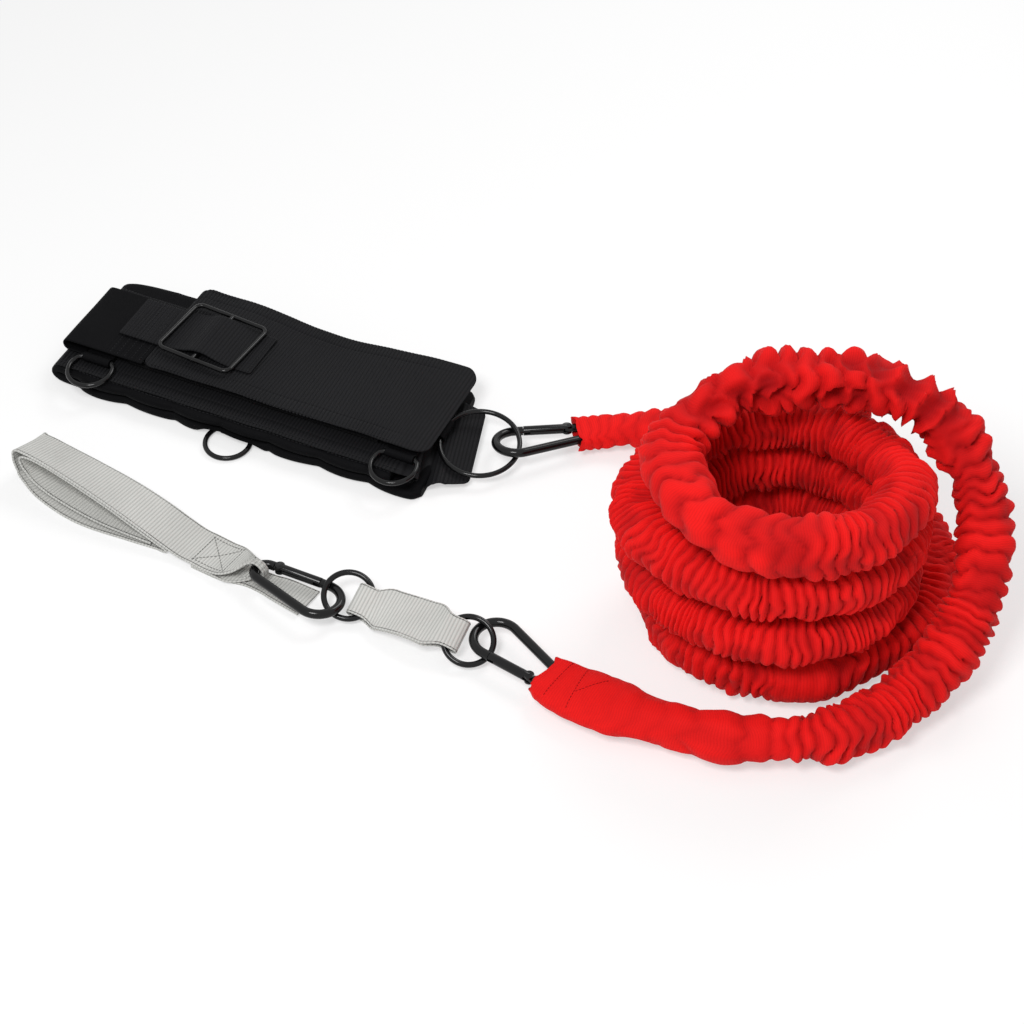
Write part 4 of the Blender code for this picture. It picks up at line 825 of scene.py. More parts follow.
def block(first, last, height, thick, turn, at):
    # from first to last along the gate's line, centred across it
    low, high = Vector((first, -height / 2, -thick / 2)), Vector((last, height / 2, thick / 2))
    middle, size = (low + high) / 2, high - low
    shape = bmesh.new()
    bmesh.ops.create_cube(shape, size=1, matrix=Matrix.Translation(at) @ turn @ Matrix.Translation(middle)
                          @ Matrix.Diagonal((*size, 1)))
    return shape


def rod(start, end, radius, sides=40):
    along = end - start
    turn = along.to_track_quat("Z", "Y").to_matrix().to_4x4()
    shape = bmesh.new()
    bmesh.ops.create_cone(shape, cap_ends=True, segments=sides, radius1=radius, radius2=radius, depth=along.length,
                          matrix=Matrix.Translation((start + end) / 2) @ turn)
    return shape


def carved(name, shape, *steps):
    # a solid in millimetres with others joined on or cut away, its edges eased, as one plain mesh
    made = []
    for part in [shape] + [tool for operation, tool in steps]:
        part.transform(Matrix.Scale(mm, 4))
        mesh = bpy.data.meshes.new(name)
        part.to_mesh(mesh)
        part.free()
        made.append(linked(name, mesh))
    item = made[0]
    for (operation, _), tool in zip(steps, made[1:]):
        step = item.modifiers.new(operation, "BOOLEAN")
        step.operation = operation
        step.object = tool
        step.solver = "EXACT"
    ease = item.modifiers.new("ease", "BEVEL")
    ease.width = hook["edge"] * mm
    ease.segments = 3
    ease.angle_limit = math.radians(35)
    ease.use_clamp_overlap = True
    settled(item)
    for part in made[1:]:
        bpy.data.objects.remove(part, do_unlink=True)
    return item


def joinedTo(item, *others):
    shape = bmesh.new()
    for part in (item, *others):
        shape.from_mesh(part.data)
    shape.to_mesh(item.data)
    shape.free()
    for part in others:
        bpy.data.objects.remove(part, do_unlink=True)
    return smoothed(item, 40)


def buildHook(name):
    place = hookPlace(name)
    narrow, wide, reach, room = [hook[key] for key in ("narrow", "wide", "reach", "room")]
    taper = math.asin((wide - narrow) / reach)
    out = Vector((-math.sin(taper), math.cos(taper), 0))
    along = Vector((math.cos(taper), math.sin(taper), 0))
    begin = Vector((-reach, 0, 0)) + out * narrow
    wireEnd = hook["pivot"] - hook["gate"] / 2 - room
    nose = hook["gateEnd"] + hook["noseGap"]
    quarter = math.pi / 2
    # the wire runs from the gate's ear round the eye and the wide bend to the nose
    line = [tuple(begin + along * d) for d in (wireEnd, wireEnd * 0.5)]
    line += arc((-reach, 0), narrow, quarter + taper, 3 * quarter - taper, 28)
    low = Vector(line[-1])
    far = Vector((wide * math.cos(-quarter - taper), wide * math.sin(-quarter - taper), 0))
    line += [tuple(low.lerp(far, t)) for t in (0.2, 0.4, 0.6, 0.8)]
    line += arc((0, 0), wide, -quarter - taper, quarter + taper, 44)
    last = Vector(line[-1])
    line += [tuple(last.lerp(begin + along * nose, t)) for t in (0.5, 1.0)]
    wire = wirePiece(name + "_wire", [(moved(place, line), False)], hook["wire"], blackPaint, 28)
    turn = place.to_3x3().to_4x4() @ Matrix.Rotation(taper, 4, "Z")
    pivot = place @ (begin + along * hook["pivot"])
    height, thick = hook["ear"]
    up = (place.to_3x3() @ Vector((0, 0, 1))).normalized()
    ahead = (place.to_3x3() @ along).normalized()
    length, radius = hook["gateEnd"] - hook["pivot"], hook["gate"] / 2
    ear = block(wireEnd - hook["pivot"] - hook["earRoot"], 0, height, thick, turn, pivot)
    knob = rod(pivot - up * thick / 2, pivot + up * thick / 2, height / 2)
    tongueLength, tongueHeight, tongueThick = hook["tongue"]
    tongue = block(length - tongueLength, nose - hook["pivot"] + hook["tongueRoot"], tongueHeight, tongueThick, turn,
                   pivot)
    body = joinedTo(wire, carved(name + "_lug", ear, ("UNION", knob)), carved(name + "_catch", tongue))
    body.name = name + "_frame"
    painted(body, blackPaint)
    ridden(body, root, "black_metal", name + "_body")

    # the gate is slit over the ear, notched over the tongue and bored for its spring
    bar = rod(pivot, pivot + ahead * length, radius)
    tall, wide = hook["knuckle"]
    knuckle = rod(pivot - up * radius * tall, pivot + up * radius * tall, radius * wide)
    slitEnd = height / 2 + 2 * room
    slit = block(-hook["clear"] / 2, slitEnd, hook["clear"], thick + 2 * room, turn, pivot)
    notch = block(length - tongueLength - 2 * room, length + 1, hook["clear"], tongueThick + 2 * room, turn, pivot)
    bore, boreEnd = hook["bore"]
    hollow = rod(pivot + ahead * (slitEnd - 2), pivot + ahead * (slitEnd + boreEnd), bore, 24)
    gate = carved(name + "_gate_bar", bar, ("UNION", knuckle), ("DIFFERENCE", slit), ("DIFFERENCE", notch),
                  ("DIFFERENCE", hollow))
    painted(smoothed(gate, 40), blackPaint)
    ridden(gate, name + "_gate", "black_metal", name + "_gate")
    for small in ("_pin", "_plunger", "_spring"):
        painted(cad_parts[name + small], bareSteel)


for hookName in hook["places"]:
    buildHook(hookName)
print("snap hooks made")


# Webbing and cloth: a band with rounded edges, ribs across its run and stronger ribs in its borders

edgeRound = ((0.0, 0.0), (0.067, 0.5), (0.25, 0.866), (0.5, 1.0))


def bandPiece(name, keys, look, matrix=None, loop=False, tweak=None):
    # keys: place, direction across and width along the band's middle, in its own axes
    curve = curveThrough(keys, loop)
    total = runOf(curve)[-1]
    rib, thickness = look.get("rib", 0), look["thickness"]
    step = rib / 6 if rib else look.get("step", 2.0)
    s = np.linspace(0, total, max(8, int(total / step)) + 1)
    rows = sampled(curve, s)
    if loop:
        rows, s = rows[:-1], s[:-1]
        tangent = unit(np.roll(rows[:, :3], -2, 0) - np.roll(rows[:, :3], 2, 0))
    else:
        tangent = unit(np.gradient(rows[:, :3], axis=0))
    across = unit(rows[:, 3:6] - tangent * np.sum(rows[:, 3:6] * tangent, axis=1, keepdims=True))
    normal = np.cross(tangent, across)
    half = rows[:, 6] / 2
    for radius, gap in ((look.get("cornerStart", 0), s), (look.get("cornerEnd", 0), total - s)):
        inset = np.clip(radius - gap, 0, radius)
        half = half - (radius - np.sqrt(np.maximum(radius ** 2 - inset ** 2, 0)))
    half = half + look.get("wobble", 0) * noiseAt(s / 24, 0, 3, 5)
    half = half[:, None]
    border = look.get("border", 0)
    offsets = [0.9 * thickness]
    if border:
        offsets += [border * 0.35, border * 0.7] + [border + d for d in (-0.9, -0.3, 0.3, 0.9)]
    start = offsets[-1] + 0.4
    left = [(-half + e * thickness, h) for e, h in edgeRound] + [(-half + d, 1.0) for d in offsets]
    middle = [((half - start) * t, 1.0) for t in np.linspace(-1, 1, look["columns"])]
    right = [(-v, h) for v, h in reversed(left)]
    face = left + middle + right
    side = np.concatenate([v for v, h in face], axis=1)
    height = np.array([h for v, h in face])
    ribs = 0 * side
    if rib:
        fade = keyed(s, look["fade"])[:, None] if "fade" in look else 1
        middleRib = 1 - np.abs(np.sin(math.pi * s[:, None] / rib)) ** 0.6
        ribs = look["ribDepth"] * middleRib * fade + 0 * side
        if border:
            edgeRib = 1 - np.abs(np.sin(math.pi * s[:, None] / look["borderRib"])) ** 0.6
            outer = np.abs(side) > half - border
            ribs = np.where(outer, look["borderDepth"] * edgeRib * fade, ribs)
            ribs = ribs + look.get("groove", 0.45) * np.exp(-((np.abs(side) - (half - border)) / 0.5) ** 2) * fade
    pinch = np.clip((look["width"] - rows[:, 6]) * look.get("pleat", 0), 0, 2.6)[:, None]
    pleat = pinch * np.abs(np.sin(math.pi * 2.5 * (side / np.maximum(half, 1) + 0.1)))
    ground = rows[:, None, :3] + across[:, None] * side[..., None]
    sway = look.get("sway", 0.0) * noise(ground / 38 + 0.3, 11)
    rise = (thickness / 2 - ribs) * height
    top = ground + normal[:, None] * (rise + pleat + sway)[..., None]
    bottom = (ground + normal[:, None] * (-rise + pleat + sway)[..., None])[:, -2:0:-1]
    points = np.concatenate([top, bottom], axis=1)
    if tweak:
        points = tweak(points)
    lap = np.concatenate([[0], np.cumsum(np.linalg.norm(np.diff(points[len(points) // 2], axis=0), axis=1))])
    girth = np.append(lap, lap[-1] * 2 - lap[-2])
    along = np.append(s, total) if loop else s
    matrix = matrix or Matrix()
    item = gridPiece(name, moved(matrix, points), clothUv(along, girth), loop)

    def spot(run, v, lift=0.05):
        # a point on the outer face, v across from the middle
        row, after, before = [sampled(curve, np.atleast_1d(at)) for at in (run, run + 1.0, run - 1.0)]
        ahead = unit(after[:, :3] - before[:, :3])
        cross = unit(row[:, 3:6] - ahead * np.sum(row[:, 3:6] * ahead, axis=1, keepdims=True))
        up = np.cross(ahead, cross)
        return moved(matrix, row[:, :3] + cross * np.atleast_1d(v)[:, None] + up * (look["thickness"] / 2 + lift))

    return item, spot, total, runOf(curve)


def sewnLine(spot, start, end, lift=0.05):
    # a straight row of sewing from one (run, across) spot to another
    count = max(2, int(max(abs(start[0] - end[0]), abs(start[1] - end[1])) / 1.5))
    t = np.linspace(0, 1, count + 1)
    return list(spot(start[0] + (end[0] - start[0]) * t, start[1] + (end[1] - start[1]) * t, lift))


def sewnBand(name, node, keys, look, material, slot, lay, rests, **shape):
    item, spot, total, run = bandPiece(name, keys, look, **shape)
    placedOn(item, material, slot, node)
    print("sheet", item.name, "cut", round(look["width"]), "by", round(total), "mm")
    return spot, total, run


def beltKeys(path, look, trims=None):
    # path: place along the belt and height; trims: what is cut off the front and back edge there
    trims = trims or [(0, 0)] * len(path)
    return [(u, look["middle"] + (f - b) / 2, z, 0, 1, 0, look["width"] - f - b) for (u, z), (f, b) in zip(path, trims)]


def beltBand(name, node, path, look, material, lay, rests, trims=None):
    return sewnBand(name, node, beltKeys(path, look, trims), look, material, "black_webbing", lay, rests,
                    matrix=beltFrame)


# Belt, from the floor up

pad = {"left": -154, "right": 166, "topRight": 148, "width": 130, "middle": 13, "thickness": 7.8, "full": 8.4,
       "gap": 0.6, "wave": 2.4, "waves": 7, "endTrim": 7, "endShare": 0.14, "step": 4.2, "columns": 16,
       "cornerStart": 6, "cornerEnd": 5, "flatSpans": 40, "foldKeys": 9, "pocket": (-16, 28, -25, 7.36),
       "pocketEdge": 6, "pocketBelow": 8.0, "heldRoom": 8, "heldBelow": 8.6, "pressure": 4, "frames": 20, "cap": 1.4,
       "heightCap": 0.3, "seam": -57.5}


def pocketed(points):
    # room over the under ring and its tab
    (u0, u1, v1, top), edge = pad["pocket"], pad["pocketEdge"]
    u, v, z = points[..., 0], points[..., 1], points[..., 2]
    share = np.prod([np.clip((d + edge) / edge, 0, 1) for d in (u - u0, u1 - u, v1 - v)], axis=0)
    points = points.copy()
    points[..., 2] = np.where(z < pad["pocketBelow"], z + (np.maximum(z, top) - z) * share, z)
    return points


def puffed(item, held):
    # swelled by cloth simulation, each point moved by no more than the cap
    count = len(item.data.vertices)
    rest = np.empty(count * 3)
    item.data.vertices.foreach_get("co", rest)
    group = item.vertex_groups.new(name="held")
    group.add([int(k) for k in np.nonzero(held)[0]], 1.0, "REPLACE")
    cloth = item.modifiers.new("fill", "CLOTH").settings
    cloth.use_pressure = True
    cloth.uniform_pressure_force = pad["pressure"]
    cloth.effector_weights.gravity = 0
    cloth.vertex_group_mass = "held"
    scene.frame_start, scene.frame_end = 1, pad["frames"]
    for number in range(1, pad["frames"] + 1):
        scene.frame_set(number)
    soft = np.empty(count * 3)
    item.evaluated_get(bpy.context.evaluated_depsgraph_get()).data.vertices.foreach_get("co", soft)
    move = (soft - rest).reshape(-1, 3)
    move *= np.minimum(1, pad["cap"] * mm / np.maximum(np.linalg.norm(move, axis=1, keepdims=True), 1e-9))
    move[:, 2] = np.clip(move[:, 2], -pad["heightCap"] * mm, pad["heightCap"] * mm)
    item.modifiers.clear()
    item.vertex_groups.clear()
    scene.frame_set(1)
    item.data.vertices.foreach_set("co", (rest.reshape(-1, 3) + move).ravel())
    item.data.update()


def buildPad():
    left, spans = pad["left"], pad["flatSpans"]
    low = pad["full"] / 2 + 0.02
    fold = (pad["full"] + pad["gap"]) / 2
    path = [(u, low) for u in np.linspace(pad["right"], left, spans + 1)[:-1]]
    path += [(left - fold * math.sin(a), low + fold * (1 - math.cos(a)))
             for a in np.linspace(0, math.pi, pad["foldKeys"])]
    path += [(u, low + 2 * fold) for u in np.linspace(left, pad["topRight"], spans + 1)[1:]]
    trims = []
    for u, z in path:
        share = (u - left) / (pad["topRight"] - left)
        wave = pad["wave"] * (1 - math.cos(2 * math.pi * pad["waves"] * share)) / 2
        end = pad["endTrim"] * max(0, 1 - max(0, share) / pad["endShare"]) ** 2
        trims.append((wave + end, end))
    item, spot, total, run = bandPiece("waist_pad", beltKeys(path, pad, trims), pad, beltFrame, tweak=pocketed)
    u, v, z = moved(beltFrame.inverted(), [p.co / mm for p in item.data.vertices]).T
    (u0, u1, v1, _), room = pad["pocket"], pad["heldRoom"]
    puffed(item, (u > u0 - room) & (u < u1 + room) & (v < v1 + room) & (z < pad["heldBelow"]))
    smooth = item.modifiers.new("soft", "SUBSURF")
    smooth.levels = smooth.render_levels = 1
    placedOn(item, blackCloth, "black_pad", "belt_pad")
    upper = run[fineSteps * (spans + pad["foldKeys"])]
    lines = [sewnLine(spot, (upper + 14, pad["seam"]), (total - 4, pad["seam"]), 0.25)]
    stitched("pad_stitches", lines, {"spacing": 3.4, "bead": 2.7, "width": 0.8}, blackThread)


webbingLook = {"thickness": 1.8, "rib": 2.9, "ribDepth": 0.5, "border": 12, "borderRib": 2.9, "borderDepth": 0.72,
               "columns": 9, "wobble": 0.6}
band = dict(webbingLook, width=102, middle=7, height=18.6, cornerEnd=5, sway=0.15, left=-153.7, right=148.3,
            flatEnd=148, reach=40, endHeight=9.6, taper=22,
            drop=[(0.06, 0.97), (0.12, 0.8), (0.17, 0.5), (0.22, 0.2), (0.28, 0.04), (0.36, 0.0), (0.52, 0.0),
                  (0.62, -0.06), (0.8, -0.17), (1.0, -0.26)],
            fade=[(0, 1), (296, 1), (318, 0.0), (345, 0.0)])
panel = {"width": 66, "middle": 11, "thickness": 4.2, "left": -100, "reach": 222, "step": 4, "columns": 9,
         "pieces": [("loop_fastener", "loop_panel", 22.0), ("hook_fastener", "hook_panel", 26.7)]}
cover = dict(webbingLook, width=103, middle=24.5, height=30.1, cornerStart=9, cornerEnd=13, waist=8, columns=15,
             sway=0.2, left=-84, flatEnd=148, tip=[(156, 0.5), (160, 2.0), (164, 4.0)],
             fade=[(0, 1), (205, 1), (232, 0.12), (250, 0.05)])
sideStrap = {"width": 72, "middle": 9, "thickness": 1.8, "rib": 3.3, "ribDepth": 0.6, "columns": 12, "sway": 0.2,
             "under": 20.7, "start": -138, "turnAt": -154, "top": (-118, -84.3),
             "fade": [(0, 0), (58, 0), (66, 1), (102, 1), (110, 0.6)]}
buckleStrap = {"width": 46, "middle": 19, "thickness": 1.8, "rib": 1.9, "ribDepth": 0.22, "columns": 8, "cornerEnd": 2,
               "height": 32.2, "rise": 5.98, "start": (-118, -98), "end": 13,
               "hump": [(-0.72, 0.1), (-0.4, 0.5), (-0.2, 0.88), (-0.08, 1.0), (0.08, 1.0), (0.2, 0.88), (0.4, 0.5),
                        (0.72, 0.1), (1.0, 0.0)]}
tab = {"width": 24, "thickness": 1.2, "gap": 0.3, "step": 0.8, "open": 48, "columns": 9, "cornerStart": 1,
       "cornerEnd": 3, "loop": 3.02, "level": 8, "rises": [(4, 0), (7.5, 0), (15, 0)], "underWidth": 22}
endTab = {"width": 18, "loop": 3.87, "reach": 26, "height": 21.3,
          "rises": [(0.2, 0.55), (0.36, 0.98), (0.5, 1.05), (0.7, 1.05), (1.0, 1.05)]}


def buildWebbing():
    height, low = band["height"], band["endHeight"]
    path = [(u, height) for u in np.linspace(band["left"], band["right"], 14)]
    path += [(band["flatEnd"] + band["reach"] * share, low + (height - low) * drop) for share, drop in band["drop"]]
    trims = [(band["taper"] * max(0, (u - band["flatEnd"]) / band["reach"]), 0) for u, z in path]
    spot = beltBand("belt_webbing", "belt_band", path, band, blackWebbing, "laid", ["waist_pad"], trims)[0]
    lines = [sewnLine(spot, (3, v), (300, v)) for v in (-47.5, 47.5)]

    for name, node, height in panel["pieces"]:
        path = [(u, height) for u in np.linspace(panel["left"], panel["left"] + panel["reach"], 9)]
        beltBand(name, node, path, panel, blackPile, "laid", ["belt_webbing"])

    height, left, flatEnd = cover["height"], cover["left"], cover["flatEnd"]
    path = [(u, height) for u in np.linspace(left, flatEnd, 17)] + [(u, height - drop) for u, drop in cover["tip"]]
    # the back edge has a waist
    shares = [clamped((u - left) / (flatEnd - left) * 1.25 - 0.2) for u, z in path]
    trims = [(0, cover["waist"] * math.sin(math.pi * share) ** 2) for share in shares]
    spot = beltBand("cover_webbing", "belt_cover_webbing", path, cover, blackWebbing, "laid", ["hook_fastener"],
                    trims)[0]
    lines += [sewnLine(spot, (8, -49), (215, -49)), sewnLine(spot, (8, 49), (30, 49))]

    under = sideStrap["under"]
    fold = (height - under) / 2
    path = [(sideStrap["start"], under)]
    path += [(sideStrap["turnAt"] - fold * math.sin(a) + fold / 2, under + fold * (1 - math.cos(a)))
             for a in np.linspace(0, math.pi, 9)]
    path += [(u, height) for u in sideStrap["top"]]
    spot, total = beltBand("folded_strap", "side_strap", path, sideStrap, blackCloth, "folded", ["belt_webbing"])[:2]
    lines += [sewnLine(spot, (r, -33), (r, 33), -0.3) for r in np.arange(66, total - 2, 6.6)]

    # over the buckle's middle bar and under its ends
    height, half, middle = buckleStrap["height"], buckle["length"], buckle["place"][0]
    path = [(u, height) for u in (*buckleStrap["start"], middle - half)]
    path += [(middle + half * a, height + buckleStrap["rise"] * r) for a, r in buckleStrap["hump"]]
    path += [(middle + half + buckleStrap["end"], height)]
    spot, total = beltBand("buckle_webbing", "buckle_strap", path, buckleStrap, blackWebbing, "laid",
                           ["cover_webbing"])[:2]
    last = total - 3
    lines += [sewnLine(spot, (last, -21), (last, 21)), sewnLine(spot, (last, -21), (total - 14, -21)),
              sewnLine(spot, (last, 21), (total - 14, 21))]
    lines += [sewnLine(spot, (r, -20), (r, 20), -0.1) for r in (3, *np.arange(6.4, 32, 3.4))]
    stitched("belt_stitches", lines, {"spacing": 2.9, "bead": 2.2, "width": 0.7}, blackThread)


def tabPiece(name, node, place, along, back, loop, rises, width, rests):
    # a strip looped round a ring's bar, its two layers running back side by side
    along, back = along.normalized(), back.normalized()
    up = along.cross(back)
    if up.z < 0:
        up = -up
    half = (tab["thickness"] + tab["gap"]) / 2
    side = [(d, rise - half) for d, rise in reversed(rises)]
    side += [(loop * math.cos(math.radians(a)), loop * math.sin(math.radians(a)))
             for a in np.linspace(-tab["open"], tab["open"] - 360, 15)]
    side += [(d, rise + half) for d, rise in rises]
    flat = Vector((along.x, along.y, 0)).normalized()
    keys = []
    for d, h in side:
        cross = along.lerp(flat, clamped(d / tab["level"]))
        keys.append((*(place + back * d + up * h), *cross, width))
    look = dict(tab, width=width)
    spot, total = sewnBand(name, node, keys, look, blackCloth, "black_webbing", "folded", rests)[:2]
    last = total - rises[-1][0] + rises[0][0]
    return [sewnLine(spot, (at, -width / 2 + 3), (at, width / 2 - 3)) for at in (total - 2.5, last + 2.5)]


def buildTabs():
    turn = beltFrame.to_3x3()
    lines = []
    for name, node in (("left_ring", "left_tab"), ("corner_ring", "corner_tab"), ("under_ring", "under_tab")):
        place = beltFrame @ Vector(dRings["places"][name][:3])
        under = name == "under_ring"
        rows = tabPiece(node + "_cloth", node, place, turn @ Vector((1, 0, 0)), turn @ Vector((0, 1, 0)), tab["loop"],
                        tab["rises"], tab["underWidth" if under else "width"], ["belt_webbing"])
        lines += [] if under else rows
    ring = roundRings["big_ring"]
    axis = ringAxes("big_ring")[0]
    inward = Vector((-math.cos(beltTurn), -math.sin(beltTurn), 0))
    inward = (inward - axis * inward.dot(axis)).normalized()
    sag = ring["radius"] - math.sqrt(ring["radius"] ** 2 - (endTab["width"] / 2) ** 2)
    place = Vector(ring["place"]) + inward * (ring["radius"] - sag / 2)
    lift = endTab["height"] - place.z
    rises = [(endTab["reach"] * d, lift * r) for d, r in endTab["rises"]]
    tabPiece("end_tab_cloth", "end_tab", place, axis.cross(inward), Vector((inward.x, inward.y, 0)), endTab["loop"],
             rises, endTab["width"], ["belt_webbing"])
    stitched("tab_stitches", lines, {"spacing": 2.6, "bead": 2.0, "width": 0.6}, blackThread)


buildPad()
print("pad filled")
buildWebbing()
buildTabs()
print("belt sewn")


# Grey straps

greyLook = {"width": 35, "thickness": 1.8, "rib": 2.6, "ribDepth": 0.42, "border": 3.2, "borderRib": 2.6,
            "borderDepth": 0.12, "groove": 0.12, "columns": 7, "pleat": 0.075}
anchorStrap = dict(greyLook, eye=(-20.5, -110.7, 13.8), eyeWidth=7, roll=171, height=27, low=1.2, twist=0.28, near=24,
                   far=58, belly=12, box=13)
shortStrap = dict(greyLook, neck=25, seam=1.05, pocket=3.58, start=4.6, flat=17, end=20.5, rise=2)
# round the hook's eye: distance from it and height over it
eyeLoop = [(9, -5.26), (4.3, -3.76), (2.42, 0), (4.3, 3.76), (9, 5.26)]
# the layer under the strap: distance from the eye, height and share of the full width
flapPath = [(58, 0.92, 1), (31.2, 0.92, 0.9), (12, 0.92, 0.6), (0, 1.74, 0.6), (-12.67, 3.0, 0.7), (-38, 3.42, 0.8)]
# the roll: shares of its length and height, from the sewn end round and inward
rollPath = [(0.07, 0.14), (0.16, 0.27), (0.26, 0.45), (0.43, 0.69), (0.64, 0.87), (0.84, 0.97), (0.935, 0.985),
            (0.985, 0.93), (1.0, 0.72), (1.0, 0.45), (0.975, 0.2), (0.91, 0.055), (0.82, 0.0), (0.6, 0.0), (0.35, 0.0),
            (0.2, 0.0), (0.155, 0.03), (0.14, 0.1), (0.165, 0.165), (0.22, 0.25), (0.32, 0.42), (0.46, 0.62),
            (0.64, 0.77), (0.82, 0.87), (0.92, 0.86), (0.955, 0.75), (0.955, 0.5), (0.92, 0.3), (0.84, 0.2),
            (0.7, 0.165), (0.5, 0.14), (0.3, 0.11), (0.24, 0.1)]


def lifted(points):
    # a row that would sink into the floor rests on it
    return points + np.array((0, 0, 1)) * np.maximum(0, 0.2 - points[..., 2].min(axis=1))[:, None, None]


def buildAnchorStrap():
    x, y, z = anchorStrap["eye"]
    heading = math.radians(hook["places"]["anchor_hook"][1][2])
    away = np.array((-math.cos(heading), -math.sin(heading), 0))
    cross = np.array((-away[1], away[0], 0))
    near, far, roll, low = [anchorStrap[key] for key in ("near", "far", "roll", "low")]
    full, narrow = anchorStrap["width"], anchorStrap["eyeWidth"]
    # in at the bottom, gathered round the hook's eye and out again on top
    path = [(far, 3.0, full), ((near + far) / 2, 3.0, full), (near, 3.3, full * 0.9), (near * 0.62, 5.1, full * 0.5)]
    path += [(s, z + h, narrow) for s, h in eyeLoop]
    path += [(near * 0.6, z + 3.3, full * 0.36), (near * 0.92, 11.34, full * 0.68), (near * 1.35, 7.2, full * 0.95),
             (near * 1.8, 5.1, full), (far, 5.1, full)]
    path += [(far + roll * s, low + anchorStrap["height"] * h, full) for s, h in rollPath]
    keys = []
    for s, h, width in path:
        out = clamped((s - far) / roll * 2 - 0.6)
        high = clamped((h - low) / anchorStrap["height"] * 2 - 0.5)
        # the layers on the floor bulge toward the front
        share = clamped((s - far - 0.25 * roll) / (0.75 * roll))
        belly = anchorStrap["belly"] * math.sin(math.pi * share) * max(0, 1 - (h - low) / 8)
        px, py = x + away[0] * s + cross[0] * belly, y + away[1] * s + cross[1] * belly
        keys.append((px, py, h, cross[0], cross[1], anchorStrap["twist"] * out * high, width))
    spot, _, run = sewnBand("rolled_strap", "anchor_strap", keys, anchorStrap, greyWebbing, "grey_webbing", "folded",
                            ["layer_under_strap"], tweak=lifted)
    # a box of sewing with a cross in it
    a, b, v = run[fineSteps * 11] - 2, run[fineSteps * 13] + 1, anchorStrap["box"]
    rows = [((a, -v), (b, -v)), ((a, v), (b, v)), ((a, -v), (a, v)), ((b, -v), (b, v)), ((a, -v), (b, v)),
            ((a, v), (b, -v))]
    lines = [sewnLine(spot, first, last) for first, last in rows]
    keys = [(x + away[0] * s, y + away[1] * s, h, cross[0], cross[1], 0, full * share) for s, h, share in flapPath]
    sewnBand("layer_under_strap", "anchor_under_layer", keys, dict(greyLook, pleat=0), greyWebbing, "grey_webbing",
             "laid", [], tweak=lifted)
    return lines


def buildShortStrap():
    rings = [(Vector(roundRings[name]["place"]), ringAxes(name)[0]) for name in ("anchor_ring", "sleeve_ring")]
    ends = []
    for (place, axis), (other, _) in zip(rings, rings[::-1]):
        toward = other - place
        ends.append((place, axis, (toward - axis * toward.dot(axis)).normalized()))
    pocket, neck, start = shortStrap["pocket"], shortStrap["neck"], shortStrap["start"]
    openSide = [(start, 0.0, neck), (start + 0.35 * pocket, 0.72 * pocket, neck), (start + pocket, pocket, neck),
                (shortStrap["flat"], pocket, neck), (shortStrap["end"], 0.88 * pocket, neck * 1.08)]
    seams = [(0.14, 1.5), (0.28, 1.0), (0.5, 1.0), (0.72, 1.0), (0.86, 1.5)]
    keys = []

    def pocketRows(end, rows, way):
        # round a ring, above its wire for way 1 and below it for -1
        place, axis, toward = ends[end]
        side = toward.cross(axis) * (1 if end == 0 else -1)
        for run, height, width in rows:
            keys.append((*(place + toward * run + axis * (height * way)), *side, width))

    def seamRows(rows, way):
        first, last = [place + toward * shortStrap["end"] for place, axis, toward in ends]
        for share, lift in rows:
            level = 1 - abs(1 - 2 * share) * 0.75
            axis = (ends[0][1] * (1 - share) + ends[1][1] * share + Vector((0, 0, 1)) * level * 0.9).normalized()
            middle = first.lerp(last, share) + Vector((0, 0, shortStrap["rise"] * math.sin(math.pi * share)))
            middle += axis * (shortStrap["seam"] * lift * way)
            keys.append((*middle, *(last - first).cross(axis).normalized(), shortStrap["width"]))

    pocketRows(0, openSide, 1)
    seamRows(seams, 1)
    pocketRows(1, openSide[::-1], 1)
    pocketRows(1, openSide[1:], -1)
    seamRows(seams[::-1], -1)
    pocketRows(0, openSide[1:][::-1], -1)
    spot, _, run = sewnBand("short_webbing", "short_strap", keys, dict(shortStrap, pleat=0.0), greyWebbing,
                            "grey_webbing", "folded", [], loop=True)
    lines = []
    for key, way in ((5, 1), (9, -1)):
        zigzag = [(run[fineSteps * key] + way * (0 if k % 2 else 4), -13 + k * 4.4) for k in range(7)]
        lines += [sewnLine(spot, first, last) for first, last in zip(zigzag, zigzag[1:])]
    return lines


greySewing = buildAnchorStrap() + buildShortStrap()
stitched("strap_stitches", greySewing, {"spacing": 2.7, "bead": 2.3, "width": 0.75}, shadowedGreyThread)
print("grey straps sewn")


# Sewing on the sleeve's front end, dropped onto the cloth: each row from one (run, across) to another

sleeveRows = [((27, -19), (31, 19)), ((31, 5), (46, -13)), ((12, -17), (14, 17))]


def sleeveSewing():
    curve = curveThrough(sleeveRoute)
    mesh = sleevePiece.data
    skin = BVHTree.FromPolygons([v.co for v in mesh.vertices], [tuple(p.vertices) for p in mesh.polygons])
    lines = []
    for (s0, v0), (s1, v1) in sleeveRows:
        line = []
        for t in np.linspace(0, 1, 24):
            s, v = s0 + (s1 - s0) * t, v0 + (v1 - v0) * t
            a, b = sampled(curve, np.array([s, s + 1]))
            ahead = unit(b - a)
            at = a + unit(np.cross(ahead, (0, 0, 1))) * v
            hit = skin.ray_cast(Vector((at[0] * mm, at[1] * mm, 0.1)), Vector((0, 0, -1)))[0]
            if hit is not None:
                line.append(np.array(hit) / mm + (0, 0, 0.05))
        if len(line) > 4:
            lines.append(line)
    stitched("sleeve_stitches", lines, {"spacing": 2.6, "bead": 2.1, "width": 0.7}, redThread)


sleeveSewing()
print("sleeve end sewn")


# Light and floor

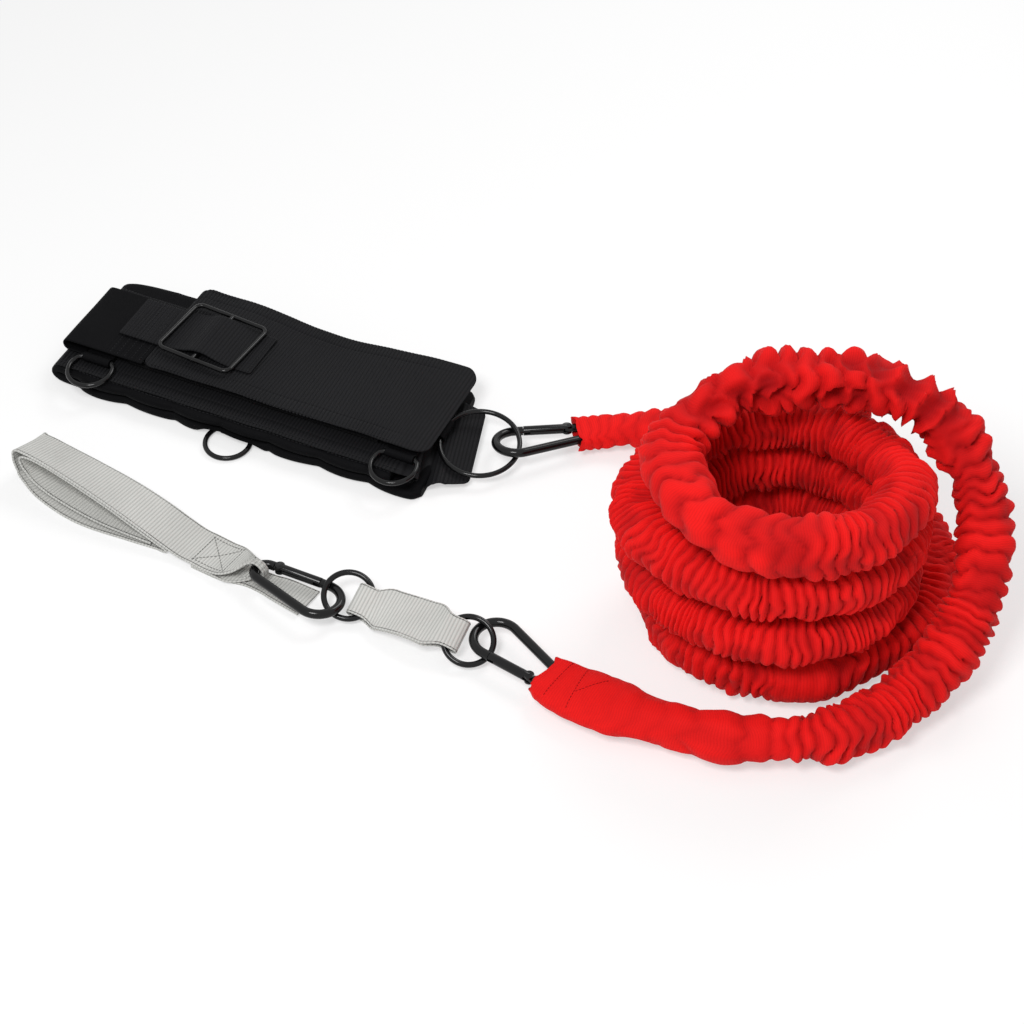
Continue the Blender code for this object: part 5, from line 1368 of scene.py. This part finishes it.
stageLook = {"ambient": 0.38, "lamps": [((-0.3, -0.95, 1.6), 0.6, 20.0), ((0.75, 0.75, 1.15), 0.6, 6.0)],
             "floorSize": 6.0, "floorLight": 0.9, "floorSeen": 0.5, "floorGlow": 0.52}


def seenFactor(tree):
    # 1 for rays that show the white background: to the camera, mirrored or let through
    path = addNode(tree, "ShaderNodeLightPath")
    total = calc(tree, "ADD", path.outputs["Is Camera Ray"], path.outputs["Is Glossy Ray"])
    return calc(tree, "MINIMUM", calc(tree, "ADD", total, path.outputs["Is Transmission Ray"]), 1.0)


def buildLight():
    world = bpy.data.worlds.new("studio")
    scene.world = world
    world.use_nodes = True
    tree = world.node_tree
    sky = tree.nodes["Background"]
    sky.inputs["Color"].default_value = (1, 1, 1, 1)
    strength = calc(tree, "MULTIPLY_ADD", seenFactor(tree), 1 - stageLook["ambient"], stageLook["ambient"])
    tree.links.new(strength, sky.inputs["Strength"])
    for index, (place, size, power) in enumerate(stageLook["lamps"]):
        lamp = bpy.data.lights.new(f"softbox{index}", "AREA")
        lamp.shape = "SQUARE"
        lamp.size = size
        lamp.energy = power
        lampObject = bpy.data.objects.new(lamp.name, lamp)
        scene.collection.objects.link(lampObject)
        lampObject.location = place
        lampObject.rotation_euler = (Vector(shot["target"]) - Vector(place)).to_track_quat("-Z", "Y").to_euler()


def buildFloor():
    floor = bpy.data.materials.new("paleFloor")
    floor.use_nodes = True
    tree = floor.node_tree
    tree.nodes.clear()
    # bright to the light that it throws back, and paler with a glow to the camera
    matt, seen = addNode(tree, "ShaderNodeBsdfDiffuse"), addNode(tree, "ShaderNodeBsdfDiffuse")
    matt.inputs["Color"].default_value = (*[stageLook["floorLight"]] * 3, 1)
    seen.inputs["Color"].default_value = (*[stageLook["floorSeen"]] * 3, 1)
    glow = addNode(tree, "ShaderNodeEmission")
    glow.inputs["Strength"].default_value = stageLook["floorGlow"]
    both = addNode(tree, "ShaderNodeAddShader")
    tree.links.new(seen.outputs[0], both.inputs[0])
    tree.links.new(glow.outputs[0], both.inputs[1])
    mix = addNode(tree, "ShaderNodeMixShader")
    tree.links.new(seenFactor(tree), mix.inputs[0])
    tree.links.new(matt.outputs[0], mix.inputs[1])
    tree.links.new(both.outputs[0], mix.inputs[2])
    out = addNode(tree, "ShaderNodeOutputMaterial")
    tree.links.new(mix.outputs[0], out.inputs["Surface"])
    half = stageLook["floorSize"] / 2
    mesh = bpy.data.meshes.new("floor")
    mesh.from_pydata([(-half, -half, 0), (half, -half, 0), (half, half, 0), (-half, half, 0)], [], [(0, 1, 2, 3)])
    mesh.materials.append(floor)
    linked("floor", mesh)


buildLight()
buildFloor()
scene.view_settings.view_transform = "Standard"
